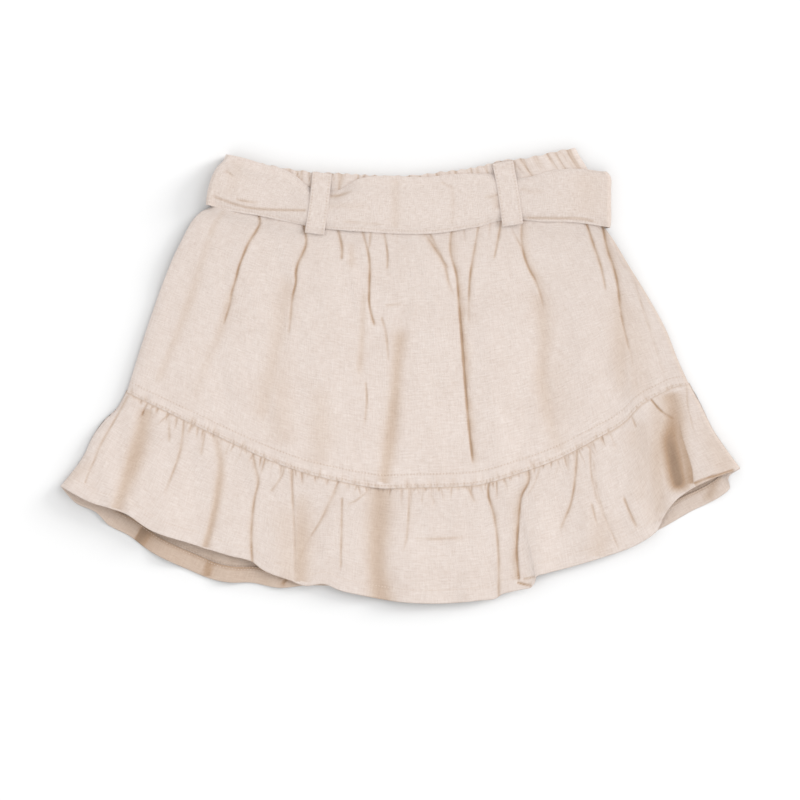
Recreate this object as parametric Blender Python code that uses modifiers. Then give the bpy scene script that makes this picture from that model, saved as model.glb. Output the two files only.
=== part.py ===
"""A small child's skort in light linen, laid flat on its back.

The garment lies in the XY plane: the waist points to +Y, the hem to -Y, and the
front faces up. The origin is on the surface that it rests on, below the middle of
its outline. Every cloth piece is a sheet of its own: a grid is moved on to the
piece's outline and height, and Solidify gives it the wall of the cloth.

Sizes are in millimetres, and become metres when a sheet is made.
"""

from collections import namedtuple
import math

import bmesh
import bpy
import numpy as np

MM = 0.001

# ---------------------------------------------------------------- cloth walls
LINEN = 1.2                 # wall of a linen sheet
BAND_WALL = 2.2             # two linen layers round the elastic
JERSEY = 1.0                # wall of the shorts inside
GAP = 0.3                   # air between pieces that touch or are sewn together
FOLD_SLACK = 0.4            # extra room where two wavy sheets lie on each other

# ---------------------------------------------------------------- numbers of folds
WAIST_GATHERS = 40          # gathers under the waistband, across the front
RUFFLE_GATHERS = 70         # gathers along the front ruffle's seam
BAND_RUCHES = 30            # ruches of the elastic waistband
WAIST_GATHER = 0.3          # half the depth of a gather at its seam
RUFFLE_GATHER = 0.4
WAIST_GATHER_REACH = 32.0   # how far a gather runs from its seam
RUFFLE_GATHER_REACH = 25.0
RUCHE_DEPTH = 0.3           # depth of a ruche of the waistband

# ---------------------------------------------------------------- levels
# Height of the middle of each sheet's wall above the surface.
BACK_LEVEL = LINEN / 2
BELT_STEP = LINEN + GAP                     # a layer of belt or loop below a sheet
WAIST_RISE = 2 * BELT_STEP                  # back sheets over the loops and the belt
WAIST_RISE_LOW = 60.0                       # the rise starts at this Y ...
WAIST_RISE_HIGH = 80.0                      # ... and is whole at this one
SHORTS_RISE_AHEAD = 8.0                     # the shorts start to rise this much sooner,
FRONT_RISE_AHEAD = 14.0                     # and the front this much
BAND_BACK_LEVEL = WAIST_RISE + BAND_WALL / 2
BAND_FRONT_LEVEL = BAND_BACK_LEVEL + BAND_WALL + 0.9
WAIST_FRONT_LEVEL = 7.5
BELT_FRONT_LEVEL = 10.3
BELT_SPLIT_LEVEL = 5.4                      # where the belt's halves meet at each side
BELT_SPLIT_GAP = 0.3
BELT_TURN = 5.0                             # how far the belt takes to turn over its side
LOOP_FRONT_LEVEL = BELT_FRONT_LEVEL + BELT_STEP
LOOP_FRONT_END = 9.7
LOOP_BACK_END = WAIST_RISE - GAP - LINEN / 2
FRONT_OVER_BACK = LINEN + GAP + FOLD_SLACK  # front sheet's middle over the back sheet's
SIDE_TURN = 18.0                            # how far the front takes to turn over its side

# ---------------------------------------------------------------- outlines
# Each is a smooth line through a few points (x, y), seen from above.
LEFT_SIDE = [(-119.0, 115.0), (-122.5, 109.5), (-129.0, 106.0), (-143.5, 84.0), (-153.5, 61.0),
             (-162.5, 36.0), (-170.5, 11.5), (-177.5, -11.0)]
RIGHT_SIDE = [(131.5, 101.5), (133.0, 96.0), (138.0, 88.5), (149.5, 69.5), (162.0, 49.5),
              (173.5, 28.0), (180.5, 10.0), (188.0, -6.5)]
LEFT_FOLD = [(-177.5, -11.0), (-183.5, -22.0), (-193.0, -31.0), (-200.0, -41.0),
             (-205.5, -52.5), (-213.0, -63.0), (-220.5, -72.0)]
RIGHT_FOLD = [(188.0, -6.5), (195.5, -20.0), (203.5, -36.0), (212.5, -49.0), (221.0, -60.5)]
WAIST_SEAM = [(-119.0, 115.0), (-93.0, 108.5), (-49.0, 101.5), (0.0, 98.5), (42.0, 101.0),
              (91.0, 104.5), (131.5, 101.5)]
RUFFLE_SEAM = [(-177.5, -11.0), (-143.0, -28.0), (-91.0, -52.5), (-65.0, -62.5), (-39.0, -69.0),
               (-13.0, -73.5), (13.0, -73.0), (49.0, -71.5), (75.0, -64.5), (101.0, -55.0),
               (127.0, -41.5), (151.0, -26.0), (162.5, -15.5), (174.0, -9.5), (188.0, -6.5)]
FRONT_HEM = [(-220.5, -72.0), (-201.5, -82.0), (-178.0, -89.5), (-162.5, -100.0),
             (-136.5, -109.0), (-94.0, -123.0), (-71.5, -133.0), (-49.0, -136.0),
             (-26.0, -142.5), (0.0, -147.0), (26.0, -148.0), (52.0, -146.0), (64.0, -143.5),
             (84.0, -137.0), (91.0, -130.0), (130.0, -118.5), (156.0, -108.5), (166.5, -101.0),
             (174.0, -88.0), (188.5, -75.0), (201.5, -67.5), (221.0, -60.5)]
BACK_HEM = [(-220.5, -72.0), (-211.0, -82.5), (-196.5, -89.5), (-183.5, -99.5),
            (-162.5, -114.0), (-136.5, -126.5), (-117.0, -134.0), (-97.5, -135.0),
            (-78.0, -138.0), (-62.0, -136.5), (-39.0, -137.0), (0.0, -142.5), (39.0, -143.5),
            (65.0, -138.0), (104.0, -122.0), (130.0, -114.5), (166.5, -101.0), (188.5, -88.5),
            (209.5, -77.5), (214.5, -70.0), (221.0, -60.5)]
BAND_LEFT = [(-109.5, 137.5), (-115.5, 127.5), (-119.0, 115.0)]
BAND_RIGHT = [(113.0, 147.0), (119.5, 136.0), (127.0, 116.0), (131.5, 101.5)]
BAND_TOP = [(-109.5, 137.5), (-89.5, 137.0), (-65.0, 132.5), (-19.5, 129.5), (19.5, 130.5),
            (45.5, 134.0), (65.0, 139.0), (91.0, 142.5), (113.0, 147.0)]
BELT_LEFT = [(-112.5, 143.0), (-119.0, 133.0), (-123.5, 123.0), (-125.5, 110.5)]
BELT_RIGHT = [(134.0, 131.5), (136.0, 110.5), (136.0, 95.5)]
BELT_TOP = [(-112.5, 143.0), (-89.5, 137.0), (-71.5, 131.5), (-58.5, 122.5), (-42.0, 119.5),
            (-31.0, 125.0), (-19.5, 128.0), (19.5, 128.5), (40.0, 130.5), (60.5, 129.0),
            (76.0, 127.5), (91.0, 131.0), (107.0, 133.5), (119.0, 133.5), (134.0, 131.5)]
BELT_BOTTOM = [(-125.5, 110.5), (-93.0, 103.5), (-71.5, 99.0), (-41.0, 94.0), (0.0, 91.5),
               (26.0, 92.5), (42.0, 94.5), (65.0, 100.0), (79.5, 100.5), (119.0, 98.5),
               (136.0, 95.5)]
BELT_BACK_TOP = [(-112.5, 143.0), (-85.0, 131.0), (-60.0, 124.5), (0.0, 122.0), (70.0, 124.0),
                 (105.0, 128.5), (134.0, 131.5)]
BELT_BACK_BOTTOM = [(-125.5, 110.5), (-85.0, 98.5), (-60.0, 93.0), (0.0, 89.0), (70.0, 90.5),
                    (136.0, 95.5)]

BELT_WIDTH = 262.0          # the belt and the waistband from side to side
BAND_WIDTH = 240.0
BAND_TURN = 6.0             # the front of the waistband bends down to the back this near its ends
BAND_DROOP = 0.5

# ---------------------------------------------------------------- belt loops
# top and bottom: the ends of a loop's middle line; belt_top and belt_bottom: where the
# edges of the belt pass under it.
Loop = namedtuple("Loop", "name x_top y_top x_end y_end width belt_top belt_bottom")
FRONT_LOOPS = (
    Loop("front_loop_left", -50.5, 131.0, -55.5, 91.5, 12.5, 120.6, 96.2),
    Loop("front_loop_right", 66.5, 138.0, 73.0, 97.0, 13.5, 129.0, 100.2),
)
BACK_LOOPS = (
    Loop("back_loop_left", -46.0, 128.6, -46.0, 85.5, 12.5, 123.4, 91.4),
    Loop("back_loop_right", 62.0, 130.0, 62.0, 84.5, 12.5, 123.8, 90.0),
)
BELT_SHELF = 7.0            # the back belt stays up this far past a back loop
LOOP_RAMP_START = 1.4       # a loop runs level this far past the belt's edge
LOOP_RAMP_END = 5.0         # and lies on the waistband from here on

# ---------------------------------------------------------------- folds
# A fold runs down the cloth from (x_top, y_top) to (x_end, y_end). bow: how far its middle
# stands aside of the straight line. deep_top, deep_end: its depth at either end. left,
# right: how wide its two sides are. widen: how many times wider it is at its end.
Fold = namedtuple("Fold", "x_top y_top x_end y_end bow deep_top deep_end left right widen")
PANEL_FOLDS = (
    Fold(-114.0, 108.0, -159.0, -6.5, -4.0, 0.8, 1.0, 9.0, 9.0, 1.2),
    Fold(-91.0, 106.0, -128.0, -6.5, -1.0, 1.7, 0.8, 5.0, 7.0, 1.8),
    Fold(-62.5, 101.0, -92.0, -29.0, 5.0, 2.0, 0.8, 7.0, 4.0, 2.2),
    Fold(-40.5, 99.0, -37.5, 73.5, 1.5, 1.3, 0.0, 3.5, 4.5, 1.0),
    Fold(-31.0, 98.0, -31.0, 67.0, 0.0, 0.8, 0.0, 4.0, 4.0, 1.0),
    Fold(-24.0, 97.0, -15.5, 30.5, 0.0, 1.5, 0.0, 4.5, 4.0, 1.2),
    Fold(-12.5, 42.0, -8.0, 6.5, 0.0, 1.0, 0.0, 5.0, 5.0, 1.2),
    Fold(-10.5, 97.0, -8.0, 68.0, 0.0, 1.1, 0.0, 4.0, 4.0, 1.0),
    Fold(-20.0, 30.0, -23.5, -50.0, 0.0, 0.9, 0.5, 6.0, 6.0, 1.2),
    Fold(19.0, 96.0, 36.5, 50.5, 1.6, 1.5, 0.0, 5.0, 4.0, 1.2),
    Fold(34.0, 97.0, 48.0, -58.5, 0.5, 2.4, 1.6, 9.0, 3.5, 1.2),
    Fold(50.5, 100.0, 44.0, 29.0, -2.4, 1.4, 0.0, 4.0, 6.0, 1.2),
    Fold(65.0, 103.0, 61.0, 73.5, 0.0, 0.9, 0.0, 4.0, 4.0, 1.0),
    Fold(79.5, 103.0, 94.0, 37.0, -1.7, 1.9, 0.8, 6.0, 4.0, 1.5),
    Fold(93.0, 42.0, 104.0, -52.0, 0.0, 0.9, 0.6, 8.0, 8.0, 1.0),
    Fold(120.0, 101.0, 134.0, 52.0, 1.2, 1.5, 0.0, 5.0, 4.0, 1.3),
    Fold(131.0, 97.0, 153.5, -13.0, 0.4, 2.2, 1.0, 7.0, 4.0, 1.4),
    Fold(140.0, 30.0, 146.0, -20.0, 0.0, 0.8, 0.5, 6.0, 6.0, 1.0),
    Fold(143.0, 78.0, 174.0, -10.0, 0.0, 0.8, 0.7, 5.0, 5.0, 1.0),
)
RUFFLE_FOLDS = (
    Fold(-166.0, -17.0, -184.5, -88.0, 1.0, 1.4, 3.4, 5.0, 5.0, 1.8),
    Fold(-149.5, -25.0, -151.0, -45.5, 0.0, 1.3, 0.0, 3.5, 3.5, 1.0),
    Fold(-140.5, -29.0, -154.0, -84.0, 0.0, 1.4, 1.6, 4.0, 4.0, 1.6),
    Fold(-126.0, -36.0, -129.5, -55.0, 0.0, 1.3, 0.0, 3.5, 3.5, 1.0),
    Fold(-120.0, -39.0, -125.5, -112.0, 4.5, 1.5, 3.4, 4.0, 4.5, 2.0),
    Fold(-110.0, -44.0, -115.5, -57.0, 0.0, 1.0, 0.0, 3.5, 3.5, 1.0),
    Fold(-96.0, -50.5, -95.0, -125.0, 2.6, 2.4, 3.0, 6.0, 3.5, 1.4),
    Fold(-76.0, -58.5, -84.5, -79.0, 0.0, 1.2, 0.0, 3.5, 3.5, 1.0),
    Fold(-70.0, -61.0, -67.5, -134.0, 0.0, 1.5, 2.4, 4.0, 4.0, 1.6),
    Fold(-39.5, -69.0, -62.0, -136.0, -1.6, 1.8, 2.6, 4.0, 4.5, 2.0),
    Fold(-36.0, -78.0, -37.5, -140.0, 0.0, 0.8, 2.0, 4.0, 4.0, 1.6),
    Fold(-17.5, -73.0, -33.0, -88.0, 0.0, 1.2, 0.0, 3.5, 3.5, 1.0),
    Fold(0.0, 29.0, -14.5, -147.0, -4.7, 0.8, 3.2, 7.0, 5.5, 1.3),
    Fold(6.5, -73.0, 1.5, -120.0, 0.0, 1.4, 0.4, 3.5, 3.5, 1.5),
    Fold(14.5, -73.0, 14.5, -86.0, 0.0, 1.0, 0.0, 3.0, 3.0, 1.0),
    Fold(21.0, -73.0, 21.5, -88.0, -1.0, 1.0, 0.0, 3.0, 3.0, 1.0),
    Fold(28.0, -105.0, 27.0, -148.0, 0.0, 0.0, 1.4, 6.0, 6.0, 1.4),
    Fold(44.0, -72.0, 49.5, -86.0, 0.0, 1.3, 0.0, 3.5, 3.5, 1.0),
    Fold(58.5, -69.0, 64.5, -146.0, 0.0, 2.0, 3.0, 6.0, 3.5, 1.4),
    Fold(83.0, -61.0, 76.5, -138.0, -4.0, 3.0, 4.0, 8.0, 3.2, 1.2),
    Fold(91.0, -58.0, 82.5, -79.5, 0.0, 1.4, 0.0, 3.5, 3.5, 1.0),
    Fold(106.0, -52.0, 108.5, -64.0, 0.0, 1.1, 0.0, 3.5, 3.5, 1.0),
    Fold(115.5, -48.0, 103.5, -112.0, 2.0, 1.6, 2.0, 4.0, 4.0, 1.8),
    Fold(123.0, -43.0, 140.0, -115.0, -3.0, 1.8, 2.4, 4.0, 4.5, 1.8),
    Fold(145.0, -74.0, 156.0, -108.0, 0.0, 0.4, 1.5, 4.0, 4.0, 1.3),
    Fold(150.0, -27.0, 153.5, -38.0, 0.0, 1.2, 0.0, 3.5, 3.5, 1.0),
    Fold(150.0, -36.0, 166.0, -98.0, -1.5, 1.2, 3.0, 6.0, 5.5, 1.3),
    Fold(164.0, -15.0, 177.0, -31.0, 0.0, 1.5, 0.0, 4.0, 4.0, 1.0),
    Fold(175.5, -10.0, 184.5, -78.0, 0.0, 2.5, 4.2, 9.0, 3.5, 1.2),
    Fold(186.0, -8.5, 193.0, -45.0, 0.0, 1.0, 0.4, 4.0, 4.0, 1.0),
    Fold(203.0, -38.0, 208.5, -68.0, 0.0, 0.3, 1.4, 4.0, 4.0, 1.5),
)
BELT_FOLDS = (
    Fold(-102.0, 142.0, -96.0, 124.0, 2.0, 0.5, 0.2, 4.0, 4.0, 1.0),
    Fold(-66.0, 134.0, -72.0, 99.0, 2.0, 0.5, 0.3, 5.0, 4.0, 1.0),
    Fold(-38.0, 124.0, -40.0, 94.0, -2.0, 0.6, 0.2, 4.0, 5.0, 1.0),
    Fold(-3.0, 130.0, -3.0, 90.0, 0.0, 0.5, 0.6, 5.0, 5.0, 1.0),
    Fold(34.0, 132.0, 33.0, 92.0, 0.0, 0.3, 0.3, 4.0, 4.0, 1.0),
    Fold(56.0, 130.0, 60.0, 98.0, 2.0, 0.6, 0.5, 5.0, 3.0, 1.0),
    Fold(112.0, 136.0, 118.0, 98.0, 0.0, 0.4, 0.1, 6.0, 6.0, 1.0),
)
BACK_WAVES = (
    Fold(-193.0, -62.0, -196.0, -92.0, 0.0, 0.0, -2.2, 9.0, 9.0, 1.0),
    Fold(-150.0, -80.0, -153.0, -120.0, 0.0, 0.0, -2.6, 10.0, 10.0, 1.0),
    Fold(-112.0, -95.0, -110.0, -136.0, 0.0, 0.0, -2.4, 9.0, 9.0, 1.0),
    Fold(-76.0, -105.0, -76.0, -140.0, 0.0, 0.0, -1.6, 9.0, 9.0, 1.0),
    Fold(-30.0, -105.0, -28.0, -142.0, 0.0, 0.0, -1.4, 10.0, 10.0, 1.0),
    Fold(18.0, -105.0, 18.0, -146.0, 0.0, 0.0, -1.4, 10.0, 10.0, 1.0),
    Fold(96.0, -90.0, 98.0, -128.0, 0.0, 0.0, -1.6, 9.0, 9.0, 1.0),
    Fold(148.0, -92.0, 151.0, -112.0, 0.0, 0.0, -1.8, 8.0, 8.0, 1.0),
    Fold(203.0, -45.0, 209.0, -78.0, 0.0, 0.0, -2.0, 8.0, 8.0, 1.0),
)
FOLD_START = 5.0            # a fold reaches its depth this far below its top

# ---------------------------------------------------------------- puffs
# A soft rise of the front cloth: its middle, height and reach to either side.
Puff = namedtuple("Puff", "x y height reach_x reach_y")
FRONT_PUFFS = (
    Puff(-182.0, -84.0, 4.2, 34.0, 24.0),
    Puff(-150.0, -98.0, 2.0, 16.0, 20.0),
    Puff(-108.0, -115.0, 1.6, 13.0, 22.0),
    Puff(-82.0, -112.0, 1.4, 10.0, 25.0),
    Puff(-50.0, 20.0, 0.7, 22.0, 60.0),
    Puff(18.0, 5.0, 0.7, 20.0, 60.0),
    Puff(60.0, 10.0, 1.4, 14.0, 70.0),
    Puff(70.0, -20.0, 0.8, 14.0, 40.0),
    Puff(120.0, 0.0, 0.8, 16.0, 50.0),
    Puff(10.0, -128.0, 1.2, 14.0, 26.0),
    Puff(46.0, -128.0, 1.4, 12.0, 26.0),
    Puff(90.0, -112.0, 2.6, 10.0, 34.0),
    Puff(122.0, -100.0, 1.4, 10.0, 22.0),
    Puff(153.0, -88.0, 1.0, 9.0, 22.0),
    Puff(196.0, -58.0, 3.4, 12.0, 24.0),
)

# Middle of the front sheet's wall between its folds, at each Y.
Level = namedtuple("Level", "y height")
FRONT_LEVELS = (
    Level(-150.0, 5.6), Level(-110.0, 5.8), Level(-70.0, 6.3), Level(-20.0, 6.9),
    Level(60.0, 7.4), Level(100.0, WAIST_FRONT_LEVEL),
)
SIDE_LEVEL = 5.2            # the same near the sides, below the waist
SIDE_REACH = 45.0           # how far from the side the full level is reached

# ---------------------------------------------------------------- shorts inside
SHORTS_MIDDLE = 4.0         # X of the centre seams
# Half the width of the shorts at each Y, and how far the leg's inner edge is from the middle.
Girth = namedtuple("Girth", "y outer inner")
SHORTS_GIRTHS = (
    Girth(98.0, 112.0, 0.0), Girth(80.0, 117.0, 0.0), Girth(74.0, 119.0, 0.0),
    Girth(67.0, 121.0, 0.0), Girth(60.0, 123.0, 0.0), Girth(52.0, 125.0, 0.0),
    Girth(20.0, 134.0, 0.0), Girth(-50.0, 140.0, 0.0), Girth(-58.0, 140.0, 9.0),
    Girth(-88.0, 138.0, 14.0),
)
SHORTS_BACK_OVER = LINEN / 2 + GAP + JERSEY / 2
SHORTS_FRONT_OVER = SHORTS_BACK_OVER + JERSEY + GAP
FRONT_OVER_SHORTS = SHORTS_FRONT_OVER + JERSEY / 2 + GAP + LINEN / 2 + WAIST_GATHER

# ---------------------------------------------------------------- mesh sizes
PANEL_ROWS = (0.0, 0.025, 0.05, 0.1, 0.18, 0.29, 0.41, 0.54, 0.67, 0.8, 0.91, 1.0)
RUFFLE_ROWS = (0.0, 0.12, 0.27, 0.44, 0.62, 0.81, 1.0)
BACK_PANEL_ROWS = (0.0, 0.06, 0.13, 0.2, 0.27, 0.35, 0.44, 0.55, 1.0)
BACK_RUFFLE_ROWS = (0.0, 0.3, 0.6, 0.8, 1.0)
BAND_ROWS = (0.0, 0.5, 1.0)
BELT_ROWS = (0.0, 0.33, 0.66, 1.0)
BELT_COLUMNS = 40
BACK_COLUMNS = 54
BACK_BAND_COLUMNS = 24
TURN_SHARES = (0.0, 0.1, 0.3, 0.6, 1.0)

# ---------------------------------------------------------------- finishes
Finish = namedtuple("Finish", "name colour roughness")
LINEN_FINISH = Finish("linen", (0.78, 0.67, 0.59, 1.0), 0.9)
JERSEY_FINISH = Finish("jersey", (0.77, 0.68, 0.61, 1.0), 0.92)


def clear_scene():
    """Remove every object that is in the scene."""
    for thing in list(bpy.data.objects):
        bpy.data.objects.remove(thing, do_unlink=True)


def finish_material(finish, piece_name):
    """The material of one piece."""
    material = bpy.data.materials.new(piece_name + "_" + finish.name)
    material.use_nodes = True
    shader = material.node_tree.nodes["Principled BSDF"]
    shader.inputs["Base Color"].default_value = finish.colour
    shader.inputs["Roughness"].default_value = finish.roughness
    shader.inputs["Metallic"].default_value = 0.0
    return material


# ---------------------------------------------------------------- lines
def smooth_line(points, steps=8):
    """A smooth line through points: Hermite spans, with slopes taken from the neighbours."""
    knots = np.array(points, dtype=float)
    reach = np.concatenate([[0.0], np.cumsum(np.linalg.norm(np.diff(knots, axis=0), axis=1))])
    slopes = np.gradient(knots, reach, axis=0)
    line = []
    for i in range(len(knots) - 1):
        span = reach[i + 1] - reach[i]
        for k in range(steps):
            u = k / steps
            line.append(knots[i] * (1 + 2 * u) * (1 - u) ** 2 + slopes[i] * span * u * (1 - u) ** 2
                        + knots[i + 1] * u * u * (3 - 2 * u) - slopes[i + 1] * span * u * u * (1 - u))
    line.append(knots[-1])
    return np.array(line)


def along(line, shares):
    """The points at the given shares of a line's length."""
    reach = np.concatenate([[0.0], np.cumsum(np.linalg.norm(np.diff(line, axis=0), axis=1))])
    wanted = np.asarray(shares) * reach[-1]
    return np.stack([np.interp(wanted, reach, line[:, 0]), np.interp(wanted, reach, line[:, 1])], axis=-1)


def moved(points, dy):
    """The same points, moved along Y."""
    return [(x, y + dy) for x, y in points]


def between(left, right, top, bottom, s, t):
    """Points of the sheet that four lines bound, at shares s across and t down."""
    sides = [smooth_line(points) for points in (left, right, top, bottom)]
    at_left = along(sides[0], t)
    at_right = along(sides[1], t)
    at_top = along(sides[2], s)
    at_bottom = along(sides[3], s)
    s = s[:, None]
    t = t[:, None]
    corners = ((1 - s) * (1 - t) * np.array(left[0]) + s * (1 - t) * np.array(right[0])
               + (1 - s) * t * np.array(left[-1]) + s * t * np.array(right[-1]))
    return (1 - s) * at_left + s * at_right + (1 - t) * at_top + t * at_bottom - corners


def soft_step(share):
    """Zero below 0, one above 1, and smooth between."""
    share = np.clip(share, 0.0, 1.0)
    return share * share * (3 - 2 * share)


# ---------------------------------------------------------------- heights
def fold_depth(fold, x, y):
    """How deep one fold presses the cloth at (x, y)."""
    length = fold.y_top - fold.y_end
    run = np.clip((fold.y_top - y) / length, 0.0, 1.0)
    middle = fold.x_top + (fold.x_end - fold.x_top) * run + fold.bow * 4 * run * (1 - run)
    depth = fold.deep_top + (fold.deep_end - fold.deep_top) * run
    aside = x - middle
    width = np.where(aside < 0, fold.left, fold.right) * (1 + (fold.widen - 1) * run)
    return depth * np.exp(-(aside / width) ** 2) * soft_step((fold.y_top - y) / FOLD_START)


def all_folds(folds, x, y):
    """The depth of a table of folds at (x, y)."""
    return sum(fold_depth(fold, x, y) for fold in folds)


def waist_rise(y):
    """How far the back sheets stand up to pass over the loops and the belt."""
    return WAIST_RISE * soft_step((y - WAIST_RISE_LOW) / (WAIST_RISE_HIGH - WAIST_RISE_LOW))


def back_height(x, y):
    """The middle of the back sheets' wall."""
    return BACK_LEVEL + waist_rise(y) - all_folds(BACK_WAVES, x, y)


def side_distance(x, y):
    """How far a point is from the nearer side of the garment."""
    left = smooth_line(LEFT_SIDE + LEFT_FOLD[1:])[::-1]
    right = smooth_line(RIGHT_SIDE + RIGHT_FOLD[1:])[::-1]
    from_left = x - np.interp(y, left[:, 1], left[:, 0])
    from_right = np.interp(y, right[:, 1], right[:, 0]) - x
    return np.maximum(np.minimum(from_left, from_right), 0.0)


def shorts_cover(x, y):
    """True where the shorts lie under the front, and a little past their edges."""
    girths = sorted(SHORTS_GIRTHS)
    outer = np.interp(y, [g.y for g in girths], [g.outer for g in girths])
    inside = np.abs(x - SHORTS_MIDDLE) < outer + 5.0
    return inside & (y > girths[0].y - 12.0)


def front_height(x, y):
    """The middle of the front sheets' wall, between the waist seam and the hem."""
    levels = np.interp(y, [row.y for row in FRONT_LEVELS], [row.height for row in FRONT_LEVELS])
    aside = side_distance(x, y)
    below_waist = 1 - soft_step((y - WAIST_RISE_LOW) / (WAIST_RISE_HIGH - WAIST_RISE_LOW))
    low_side = (levels - SIDE_LEVEL) * (1 - soft_step(aside / SIDE_REACH)) * below_waist
    height = levels - low_side
    for puff in FRONT_PUFFS:
        height += puff.height * np.exp(-((x - puff.x) / puff.reach_x) ** 2
                                       - ((y - puff.y) / puff.reach_y) ** 2)
    height -= all_folds(PANEL_FOLDS + RUFFLE_FOLDS, x, y)
    below = back_height(x, y) - waist_rise(y) + waist_rise(y + FRONT_RISE_AHEAD)
    edge = below + FRONT_OVER_BACK
    turn = np.clip(aside / SIDE_TURN, 0.0, 1.0)
    height = edge + (height - edge) * np.sqrt(1 - (1 - turn) ** 2)
    return np.maximum(height, below + np.where(shorts_cover(x, y), FRONT_OVER_SHORTS, FRONT_OVER_BACK))


# ---------------------------------------------------------------- sheets
def even_shares(count):
    """Shares of a line cut into equal lengths."""
    return tuple(i / count for i in range(count + 1))


def turned_shares(count, width, turn):
    """Shares across a sheet that turns over both its sides, closer together there."""
    ends = [share * turn / width for share in TURN_SHARES]
    inner = [ends[-1] + (1 - 2 * ends[-1]) * i / count for i in range(1, count)]
    return tuple(ends + inner + [1 - share for share in reversed(ends)])


def sheet(name, columns, rows, shape, wall, finish, collection, parent):
    """A cloth piece: a grid of columns by rows, moved on to its shape, with a wall.

    columns and rows are the shares across and down; shape gives the points in
    millimetres for arrays of shares, with each vertex's column number.
    """
    across = len(columns) - 1
    down = len(rows) - 1
    grid = bmesh.new()
    bmesh.ops.create_grid(grid, x_segments=across, y_segments=down, size=0.5)
    grid.verts.ensure_lookup_table()
    column_of = np.array([round((v.co.x + 0.5) * across) for v in grid.verts])
    row_of = np.array([round((0.5 - v.co.y) * down) for v in grid.verts])
    points = shape(np.array(columns)[column_of], np.array(rows)[row_of], column_of)
    anchor = np.array([points[:, 0].mean(), points[:, 1].mean(), 0.0]).round()
    for vertex, point in zip(grid.verts, points):
        vertex.co = [float(value) * MM for value in point - anchor]
    bmesh.ops.recalc_face_normals(grid, faces=grid.faces)
    if sum(face.normal.z * face.calc_area() for face in grid.faces) < 0:
        bmesh.ops.reverse_faces(grid, faces=grid.faces)
    mesh = bpy.data.meshes.new(name)
    grid.to_mesh(mesh)
    grid.free()
    mesh.shade_smooth()
    mesh.materials.append(finish_material(finish, name))
    piece = bpy.data.objects.new(name, mesh)
    piece.location = [float(value) * MM for value in anchor]
    piece.parent = parent
    collection.objects.link(piece)
    solidify = piece.modifiers.new("wall", "SOLIDIFY")
    solidify.thickness = wall * MM
    solidify.offset = 0.0
    solidify.use_even_offset = True
    return piece


def with_height(flat, height):
    """Points (x, y) with their heights."""
    return np.column_stack([flat, height])


def front_panel(s, t, column):
    """The gathered front of the skirt."""
    flat = between(LEFT_SIDE, RIGHT_SIDE, WAIST_SEAM, RUFFLE_SEAM, s, t)
    height = front_height(flat[:, 0], flat[:, 1])
    below = along(smooth_line(WAIST_SEAM), s)[:, 1] - flat[:, 1]
    inner = soft_step(side_distance(flat[:, 0], flat[:, 1]) / SIDE_TURN)
    gather = WAIST_GATHER * (1 - soft_step(below / WAIST_GATHER_REACH)) * inner
    return with_height(flat, height + gather * np.cos(math.pi * column))


def front_ruffle(s, t, column):
    """The front of the ruffle, gathered on to the panel."""
    top = moved(RUFFLE_SEAM, -GAP)
    flat = between([top[0]] + LEFT_FOLD[1:], [top[-1]] + RIGHT_FOLD[1:], top, FRONT_HEM, s, t)
    height = front_height(flat[:, 0], flat[:, 1])
    below = along(smooth_line(top), s)[:, 1] - flat[:, 1]
    inner = soft_step(side_distance(flat[:, 0], flat[:, 1]) / SIDE_TURN)
    gather = RUFFLE_GATHER * (1 - soft_step(below / RUFFLE_GATHER_REACH)) * inner
    return with_height(flat, height + gather * (1 + np.cos(math.pi * column)))


def back_panel(s, t, column):
    """The back of the skirt, flat on the surface."""
    flat = between(LEFT_SIDE, RIGHT_SIDE, WAIST_SEAM, RUFFLE_SEAM, s, t)
    return with_height(flat, back_height(flat[:, 0], flat[:, 1]))


def back_ruffle(s, t, column):
    """The back of the ruffle."""
    top = moved(RUFFLE_SEAM, -GAP)
    flat = between([top[0]] + LEFT_FOLD[1:], [top[-1]] + RIGHT_FOLD[1:], top, BACK_HEM, s, t)
    return with_height(flat, back_height(flat[:, 0], flat[:, 1]))


def band_outline(s, t, lower_top):
    """The waistband seen from above."""
    bottom = moved(WAIST_SEAM, GAP)
    top = moved(BAND_TOP, -lower_top)
    left = [top[0]] + BAND_LEFT[1:-1] + [bottom[0]]
    right = [top[-1]] + BAND_RIGHT[1:-1] + [bottom[-1]]
    return between(left, right, top, bottom, s, t)


def front_band(s, t, column):
    """The front of the elastic waistband, with its ruches."""
    flat = band_outline(s, t, 0.0)
    from_end = soft_step(np.minimum(s, 1 - s) * BAND_WIDTH / BAND_TURN)
    ruche = RUCHE_DEPTH * (np.cos(math.pi * column) - 1) / 2 * from_end
    return with_height(flat, BAND_FRONT_LEVEL - BAND_DROOP * (1 - from_end) + ruche)


def back_band(s, t, column):
    """The back of the elastic waistband, a little below the front's edge."""
    flat = band_outline(s, t, 2.0)
    return with_height(flat, np.full(len(s), BAND_BACK_LEVEL))


def belt_turn(s, width):
    """How far round the belt's side fold a share is: 0 at the fold, 1 past it."""
    turn = np.clip(np.minimum(s, 1 - s) * width / BELT_TURN, 0.0, 1.0)
    return np.sqrt(1 - (1 - turn) ** 2)


def front_belt(s, t, column):
    """The front of the belt, with its soft folds."""
    flat = between(BELT_LEFT, BELT_RIGHT, BELT_TOP, BELT_BOTTOM, s, t)
    low = BELT_SPLIT_LEVEL + BELT_SPLIT_GAP
    height = low + (BELT_FRONT_LEVEL - low) * belt_turn(s, BELT_WIDTH)
    return with_height(flat, height - all_folds(BELT_FOLDS, flat[:, 0], flat[:, 1]))


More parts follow.
